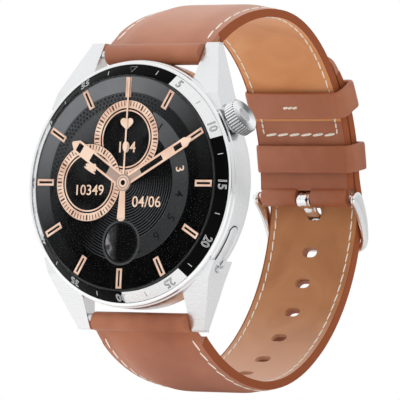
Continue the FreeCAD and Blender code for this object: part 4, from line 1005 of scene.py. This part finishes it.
def sewn(row, place, long, thick):
    """One stitch: a short round-ended run of thread, pulled in at both ends."""
    ends = bmesh.ops.create_uvsphere(row, u_segments=8, v_segments=6, radius=1)["verts"]
    for vert in ends:
        vert.co.x, vert.co.y, vert.co.z = vert.co.x, vert.co.z, vert.co.y
        fuller = abs(vert.co.y) ** 0.6
        vert.co.y = math.copysign(fuller, vert.co.y)
    bmesh.ops.transform(row, verts=ends,
                        matrix=place @ Matrix.Diagonal((thick, long / 2, thick * 0.85, 1)))


def stitch_row(line, lift_off, inset, low, high, side, pitch=3.2, long=2.85, thick=0.19):
    """Saddle stitches along one edge, laid a little aslant in their holes."""
    row = bmesh.new()
    angle = low
    step_sign = 1 if high > low else -1
    while (angle - high) * step_sign < 0:
        radius = line(angle) + lift_off(angle)
        here = on_loop(angle, radius)
        step = pitch / radius * 57.3 * step_sign
        ahead = on_loop(angle + step, line(angle + step) + lift_off(angle + step))
        run = (ahead - here).normalized()
        out = (here - Vector((0, loop_middle, 0))).normalized()
        width = half_width(here.y) - inset
        sideways = Vector((1, 0, 0))
        lean = (run + sideways * 0.09 * side).normalized()
        frame_of = Matrix((
            (*sideways, 0), (*lean, 0), (*out, 0), (0, 0, 0, 1))).transposed()
        centre = (here + ahead) / 2 + sideways * width * side
        sewn(row, Matrix.Translation(centre) @ frame_of, long, thick)
        angle += step
    return row


long_holes = [-1.0] + [-3.3 - 11.7 * number for number in range(1, 7)]
fold_top, slot_half, turn_end = 7.8, 1.6, 34.8


def upper_side(angle):
    return padding(angle) if abs(angle) > 95 else leather_thick


def skived(angle):
    """Underside of the leather: thinned to the fold at the lugs."""
    return lining_thick + 0.03 + 1.25 * max(0.0, (abs(angle) - 125) / 11.5)


def long_side(angle):
    """The long half's outer face: pared down to its free end."""
    return upper_side(angle) - 1.45 * max(0.0, (angle - 44) / 16.5) ** 1.2


def closed_under(angle):
    """Its underside: past the lining's end the leather is turned in over it."""
    return skived(angle) * unit((47.4 - angle) / 1.2)


def bar_fold(side):
    """Half of the fold round the buckle's bar, beside the slot for the tongue."""
    outer = 9.45
    place = (0.25 + side * (slot_half + outer) / 2, buckle_bar.y, buckle_bar.z)
    return rod(1.85, outer - slot_half, place, 0.25, 40, 2)


def flush(angle):
    """On the loop's line itself, the face that the wrist touches."""
    return 0.0


def lining_face(angle):
    return lining_thick


def on_margin(angle):
    """Where the outer thread lies."""
    return upper_side(angle) + domed(angle, 0.88) + 0.03


short_parts = [strip(fold_top - 0.3, 137.0, short_line, skived, upper_side, dome=domed),
               roll(1)]
turned_in = strip(fold_top - 0.3, turn_end, short_line, flush, lambda a: lining_thick + 0.02,
                  narrower=0.02, rows=40)
for side in (-1, 1):
    short_parts += [bar_fold(side), strip(3.2, fold_top, short_line, lambda a: 0.1,
                                          lambda a: leather_thick, rows=12, columns=8,
                                          inside=slot_half, side=side)]
long_top = strip(-137.0, 60.5, long_line, closed_under, long_side, tip=4.0, rows=230,
                 dome=domed, holes=long_holes)
bent("short_strap_leather", joined(short_parts), leather,
     ["short_strap_outer"])
bent("short_strap_turned_in", turned_in, leather)
bent("short_strap_nubuck", strip(turn_end + 0.1, 126.5, short_line, flush, lining_face,
                                 narrower=0.12), nubuck,
     ["short_strap_lining"])
bent("long_strap_leather", joined([long_top, roll(-1)]), leather,
     ["long_strap_outer"])
bent("long_strap_nubuck", strip(-126.5, 46.2, long_line, flush, lining_face, narrower=0.12,
                                rows=220, holes=long_holes), nubuck,
     ["long_strap_lining"])

painted, rows_of_thread = [], []
lining_stitch = 2.1, 1.95, 0.15
for side in (-1, 1):
    for low, high, line, outside, rows in (
            (fold_top, 126.5, short_line, upper_side, 120),
            (-126.5, 50.0, long_line, long_side, 180)):
        painted.append(strip(
            low, high, line, lambda a: -0.04,
            lambda a: outside(a) - 0.2 + min(0.0, domed(a, 1.0) + 0.22), narrower=-0.07,
            rows=rows, columns=2, inside=-0.22, side=side))
    rows_of_thread += [
        stitch_row(short_line, on_margin, 1.25, 14, 128, side),
        stitch_row(short_line, flush, 1.25, turn_end + 0.6, 125, side, *lining_stitch),
        stitch_row(long_line, on_margin, 1.25, -129, 46, side),
        stitch_row(long_line, flush, 1.25, -125, 46, side, *lining_stitch),
        stitch_row(short_line, flush, 1.55, 29.9, turn_end - 0.4, side, 1.1, 1.0, 0.17)]
bent("strap_edges", joined(painted), edge_paint)

closing = bmesh.new()
for number in range(6):
    seat = on_loop(29.7, short_line(29.7) - 0.03, (number - 2.5) * 2.62)
    lay = (Matrix.Translation(seat) @ rotation(29.7 - 90, "X")
           @ rotation(90 - 9, "Z"))
    sewn(closing, lay, 2.5, 0.27)
bent("strap_stitching", joined(rows_of_thread + [closing]), thread)

# --- keepers --------------------------------------------------------------------------
# Two hoops of the same leather, skived and glued, go round both halves. One is sewn down
# beside the buckle and the other slides along the strap.


def rounded_box(count, half_x, half_y, power_x, power_y):
    """Points round a box whose corners are the rounder the nearer the powers are to 1."""
    angles = [math.tau * step / count for step in range(count)]
    return [(math.copysign(abs(math.cos(at)) ** power_x * half_x, math.cos(at)),
             math.copysign(abs(math.sin(at)) ** power_y * half_y, math.sin(at)))
            for at in angles]


def hoop(degrees, fit=0.3, width=5.2, thick=1.0):
    """A leather band with soft corners, swept round the stack of straps at an angle."""
    left, right_side = -9.85 - thick * 0.25, 10.35 + thick / 2
    inner = short_line(degrees) - fit
    outer = short_line(degrees) + leather_thick * 2 + between + fit
    normal = short_line(degrees + 1), short_line(degrees - 1)
    tangent = (on_loop(degrees + 1, normal[0]) - on_loop(degrees - 1, normal[1])).normalized()
    out = Vector((1, 0, 0)).cross(tangent) * -1
    middle = on_loop(degrees, (inner + outer) / 2)
    if out.dot(middle - Vector((0, loop_middle, 0))) < 0:
        out.negate()
    tall = (outer - inner) / 2
    corner = 1.1
    reach_up = tall + thick / 2 - corner
    loop_path = []
    for cx, cy, start in ((right_side - corner, reach_up, 0), (left + corner, reach_up, 90),
                          (left + corner, -reach_up, 180),
                          (right_side - corner, -reach_up, 270)):
        for step in range(7):
            at = math.radians(start + step * 15)
            loop_path.append((cx + corner * math.cos(at), cy + corner * math.sin(at),
                              math.cos(at), math.sin(at)))
    band_shape = bmesh.new()
    section = rounded_box(24, thick / 2, width / 2, 0.35, 0.3)
    skinned(band_shape, [ring_of(band_shape, [
        middle + Vector((1, 0, 0)) * (px + nx * off * (1 - 0.5 * max(0.0, -nx)))
        + out * (py + ny * off * (1 - 0.5 * max(0.0, -nx))) + tangent * along
        for off, along in section]) for px, py, nx, ny in loop_path], closed=True)
    return band_shape


made("fixed_keeper_leather", hoop(19.8), "clasp", leather,
     ["fixed_keeper"], crease=60)
made("loose_keeper_leather", hoop(41.2, 0.45), "loose_keeper", leather,
     ["loose_keeper"], crease=60)
seam = bmesh.new()
for number in range(3):
    seat = on_loop(42.2, short_line(41.6) - 1.49, -0.1 + (number - 1) * 1.05)
    sewn(seam, Matrix.Translation(seat) @ rotation(41 - 90, "X")
         @ rotation(90 - 14, "Z"), 1.15, 0.27)
made("loose_keeper_seam", seam, "loose_keeper", thread)

# --- buckle ---------------------------------------------------------------------------
# A cast and polished steel frame with a bent tongue, both turning on the spring bar in
# the folded end of the 12 o'clock half.

polished = Finish("polished_steel", (0.88, 0.885, 0.89), 0.08, 1.0)
polished.feed("Roughness", polished.spread(polished.noise(1300, 4), 0.4, 0.75, 0.06, 0.16))
polished.bump(polished.noise(700, 2), 0.03, 0.00002)
dress(polished, "buckle_spring_bar")
end_at = Vector((0.3, 54.75, -6.95))
buckle_long = (end_at - buckle_bar).length
buckle_down = (end_at - buckle_bar).normalized()
buckle_out = Vector((0, -buckle_down.z, buckle_down.y))


def buckle_ring(shape, at, sideways, along_plate, half_thick, half_wide):
    """One rounded section of the buckle's wire, across its run."""
    return ring_of(shape, [at + sideways * x + along_plate * y
                           for x, y in rounded_box(16, half_thick, half_wide, 0.7, 0.7)])


def swelling(share):
    """How far the arm stands off the straight line from its eye to the end bar."""
    return 0.75 * math.sin(math.pi * unit(share))


buckle = bmesh.new()
wire = []
arm_x, turn_radius, eye_at = 10.9, 1.7, 0.8
for side in (-1, 1):
    arm = []
    for step in range(25):
        u = eye_at - 1.75 + (buckle_long - turn_radius - eye_at + 1.75) * step / 24
        if u < eye_at:
            wide = 0.15 + 1.6 * math.sqrt(max(0.0, 1 - ((u - eye_at) / 1.76) ** 2))
        else:
            wide = 1.75 - 0.95 * min(1.0, (u - eye_at) / buckle_long * 1.3) ** 0.8
        slim = 0.62 if u > eye_at else 0.62 - 0.25 * ((u - eye_at) / 1.75) ** 4
        x = arm_x - 0.55 * max(0.0, u / buckle_long) ** 2
        arm.append((buckle_bar + buckle_down * u + buckle_out * swelling(u / buckle_long)
                    + Vector((x * side, 0, 0)), Vector((side, 0, 0)), slim, wide))
    for step in range(1, 7):
        swing = math.radians(step * 15)
        centre = (buckle_bar + buckle_down * (buckle_long - turn_radius)
                  + Vector(((arm_x - 0.5 - turn_radius) * side, 0, 0)))
        outward = (Vector((side, 0, 0)) * math.cos(swing) + buckle_down * math.sin(swing))
        share = 1 - turn_radius / buckle_long * (1 - math.sin(swing))
        arm.append((centre + outward * turn_radius + buckle_out * swelling(share), outward,
                    0.66, 0.8))
    if side > 0:
        arm.reverse()
    wire += arm
skinned(buckle, [buckle_ring(buckle, at, outward, buckle_out, slim, wide)
                 for at, outward, slim, wide in wire])
made("buckle_polished_frame", buckle, "buckle", polished,
     ["buckle_frame"], crease=50)

tongue_path = [Vector(p) for p in (
    (0.3, 50.6, 0.9), (0.3, 51.5, -0.2), (0.3, 52.5, -0.8), (0.3, 54.3, -1.25),
    (0.3, 55.6, -2.7), (0.3, 56.2, -4.9), (0.3, 56.35, -7.9))]
tongue = bmesh.new()
leg = []
for number in range(len(tongue_path) - 1):
    before = tongue_path[max(0, number - 1)]
    first, second = tongue_path[number], tongue_path[number + 1]
    after = tongue_path[min(len(tongue_path) - 1, number + 2)]
    for step in range(6 if number < len(tongue_path) - 2 else 7):
        t = step / 6
        leg.append(0.5 * (2 * first + (second - before) * t
                          + (2 * before - 5 * first + 4 * second - after) * t ** 2
                          + (3 * first - before - 3 * second + after) * t ** 3))
leg_rings = []
for number, at in enumerate(leg):
    run = (leg[min(number + 1, len(leg) - 1)] - leg[max(number - 1, 0)]).normalized()
    wide = 1.4 if number < len(leg) - 3 else 1.4 - 0.25 * (number - len(leg) + 3)
    leg_rings.append(buckle_ring(tongue, at, Vector((1, 0, 0)),
                                 Vector((0, -run.z, run.y)), wide, 0.55))
skinned(tongue, leg_rings)
eyelet = turned_on_dial([(0.8, -1.4), (1.45, -1.4), (1.62, -1.25), (1.62, -0.55), (1.5, -0.45),
                         (1.5, 0.35), (1.62, 0.45), (1.62, 1.25), (1.45, 1.4), (0.8, 1.4)], 48)
bmesh.ops.rotate(eyelet, verts=eyelet.verts, cent=(0, 0, 0),
                 matrix=rotation(90, "Z"))
bmesh.ops.translate(eyelet, verts=eyelet.verts, vec=buckle_bar - Vector((0, 0.1, 0.6)))
made("buckle_polished_tongue", joined([tongue, eyelet]), "tongue", polished,
     ["buckle_tongue"], crease=50)

# --- case back and sensors ------------------------------------------------------------
# The back is a moulded plastic shell held by four screws, with a dark glazed window over
# the pulse lamps, whose green and red lenses are ringed by the printed mask.

dress(grained("shell_plastic", (0.024, 0.025, 0.027), 0.42, 0.0, (2200, 4),
              (0.25, 0.00003), (0.3, 0.7, 0.36, 0.52)), "case_back")
sensor_glass = Finish("sensor_glass", (0.006, 0.0065, 0.008), 0.07, Coat_Weight=0.5)
mask_rings = sensor_glass.node("ShaderNodeVectorMath", {0: sensor_glass.node(
    "ShaderNodeVectorMath", {0: sensor_glass.place, 1: (1, 0, 1)},
    operation="MULTIPLY").outputs[0]}, operation="LENGTH").outputs[1]
sensor_glass.feed("Base Color", sensor_glass.shades(sensor_glass.spread(
    mask_rings, 0.0, 0.016), (
        (0.0, (0.02, 0.09, 0.035)), (0.13, (0.012, 0.03, 0.018)), (0.17, (0.004, 0.004, 0.005)),
        (0.42, (0.004, 0.004, 0.005)), (0.45, (0.035, 0.012, 0.014)),
        (0.53, (0.03, 0.012, 0.014)), (0.57, (0.005, 0.005, 0.006)),
        (0.93, (0.007, 0.007, 0.009)), (0.97, (0.05, 0.05, 0.055)))))
sensor_glass.bump(sensor_glass.noise(300, 2), 0.03, 0.00002)
dress(sensor_glass, "sensor_window")
dress(grained("screw_steel", (0.62, 0.63, 0.65), 0.28, 1.0, (2600, 3), (0.1, 0.00002),
              (0.3, 0.7, 0.2, 0.4)), "back_screws")
dress(rubber, "back_gasket", "glass_gasket", "crown_o_ring", "button_o_ring")

# --- movement inside ------------------------------------------------------------------
# A moulded frame holds the foil battery, speaker, microphone and motor over the circuit
# boards and the copper charging coil. Seen only when the watch is opened.

dress(grained("frame_plastic", (0.045, 0.046, 0.05), 0.55, 0.0, (1400, 4),
              (0.3, 0.00004)), "inner_frame")
foil = Finish("battery_foil", (0.6, 0.61, 0.63), 0.3, 0.85)
creases = foil.noise(260, 5, distortion=1.2)
foil.feed("Base Color", foil.shades(creases, ((0.35, (0.5, 0.51, 0.53)),
                                              (0.65, (0.72, 0.73, 0.75)))))
foil.bump(creases, 0.35, 0.00012)
dress(foil, "battery")
board_mask = Finish("board_mask", (0.01, 0.06, 0.035), 0.38)
traces = board_mask.node("ShaderNodeTexBrick", {
    "Vector": board_mask.mapped(turned=(math.radians(90), 0, 0)), "Scale": 900.0,
    "Color1": (0.008, 0.055, 0.03, 1), "Color2": (0.012, 0.075, 0.042, 1),
    "Mortar": (0.05, 0.16, 0.09, 1), "Mortar Size": 0.03})
board_mask.feed("Base Color", traces.outputs["Color"])
board_mask.bump(traces.outputs[1], 0.2, 0.00003)
dress(board_mask, "main_board", "sensor_board")
dress(grained("chip_resin", (0.018, 0.018, 0.02), 0.5, 0.0, (3200, 3), (0.2, 0.00002),
              (0.3, 0.7, 0.42, 0.6)),
      "processor_chips", "crown_switch", "button_switch", "microphone")
coil_copper = Finish("coil_copper", (0.78, 0.36, 0.19), 0.28, 1.0)
windings = coil_copper.rings(1500.0)
coil_copper.feed("Base Color", coil_copper.shades(windings, (
    (0.2, (0.42, 0.17, 0.08)), (0.6, (0.82, 0.4, 0.22)))))
coil_copper.bump(windings, 0.5, 0.00005)
dress(coil_copper, "charging_coil")
dress(grained("can_steel", (0.55, 0.56, 0.58), 0.34, 1.0, (1100, 4), (0.12, 0.00002),
              (0.3, 0.7, 0.25, 0.45), (1, 0.1, 1)), "vibration_motor", "speaker")

# --- tubes, springs and pins ----------------------------------------------------------
# Hard drawn springs, blued clips and plain turned pins.

wire_steel = Finish("wire_steel", (0.5, 0.51, 0.53), 0.25, 1.0)
drawing = wire_steel.noise(2400, 3)
wire_steel.feed("Base Color", wire_steel.shades(drawing, ((0.35, (0.38, 0.39, 0.41)),
                                                          (0.65, (0.62, 0.63, 0.65)))))
wire_steel.bump(drawing, 0.15, 0.00002)


def wound(name, stands_for, place, radius, wire, low, high, turns):
    """A spring that sits against the case at one end and is pushed at the other."""
    coil = bmesh.new()
    bmesh.ops.create_circle(coil, segments=8, radius=wire, matrix=Matrix.Translation(
        (radius, 0, low + wire)) @ rotation(90, "X"))
    steps = math.ceil(turns * 20)
    bmesh.ops.spin(coil, geom=coil.verts[:] + coil.edges[:], axis=(0, 0, 1), cent=(0, 0, 0),
                   dvec=(0, 0, (high - low - wire * 2) / steps), angle=math.tau * turns,
                   steps=steps)
    bmesh.ops.holes_fill(coil, edges=[e for e in coil.edges if len(e.link_faces) == 1])
    bmesh.ops.recalc_face_normals(coil, faces=coil.faces)
    coil.transform(place)
    item = made(name, coil, None, wire_steel, stands_for)
    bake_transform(item)


for control, degrees, pushed_by, radius, low, high, turns in (
        ("crown", crown_clock, "crown_slider", 1.25, 23.12, 24.25, 2.25),
        ("button", button_clock, "button", 0.975, 20.02, 21.43, 2.5)):
    wound(f"{control}_return_spring", [f"{control}_spring"],
          Matrix.Translation((0, -side_height, 0)) @ rotation(degrees, "Y"),
          radius, 0.1, low, high, turns)
for end, high in (("upper", bar_place), ("lower", -bar_place)):
    for hand, quarter in (("left", -90), ("right", 90)):
        wound(f"{end}_pin_spring_{hand}", [f"{end}_bar_spring"],
              Matrix.Translation((0, -bar_height, high)) @ rotation(quarter, "Y"),
              0.28, 0.08, 0.0, 8.23, 5.5)
dress(grained("clip_steel", (0.16, 0.165, 0.18), 0.32, 1.0, (1800, 4), (0.1, 0.00002),
              (0.3, 0.7, 0.25, 0.42)), "crown_clip", "crown_washer", "button_clip")
dress(grained("pin_steel", (0.66, 0.67, 0.69), 0.2, 1.0, (1500, 3), (0.1, 0.00002),
              (0.3, 0.7, 0.14, 0.3), (0.2, 3, 3)),
      "crown_tube", "upper_spring_bar", "lower_spring_bar", "upper_pin_left",
      "upper_pin_right", "lower_pin_left", "lower_pin_right")
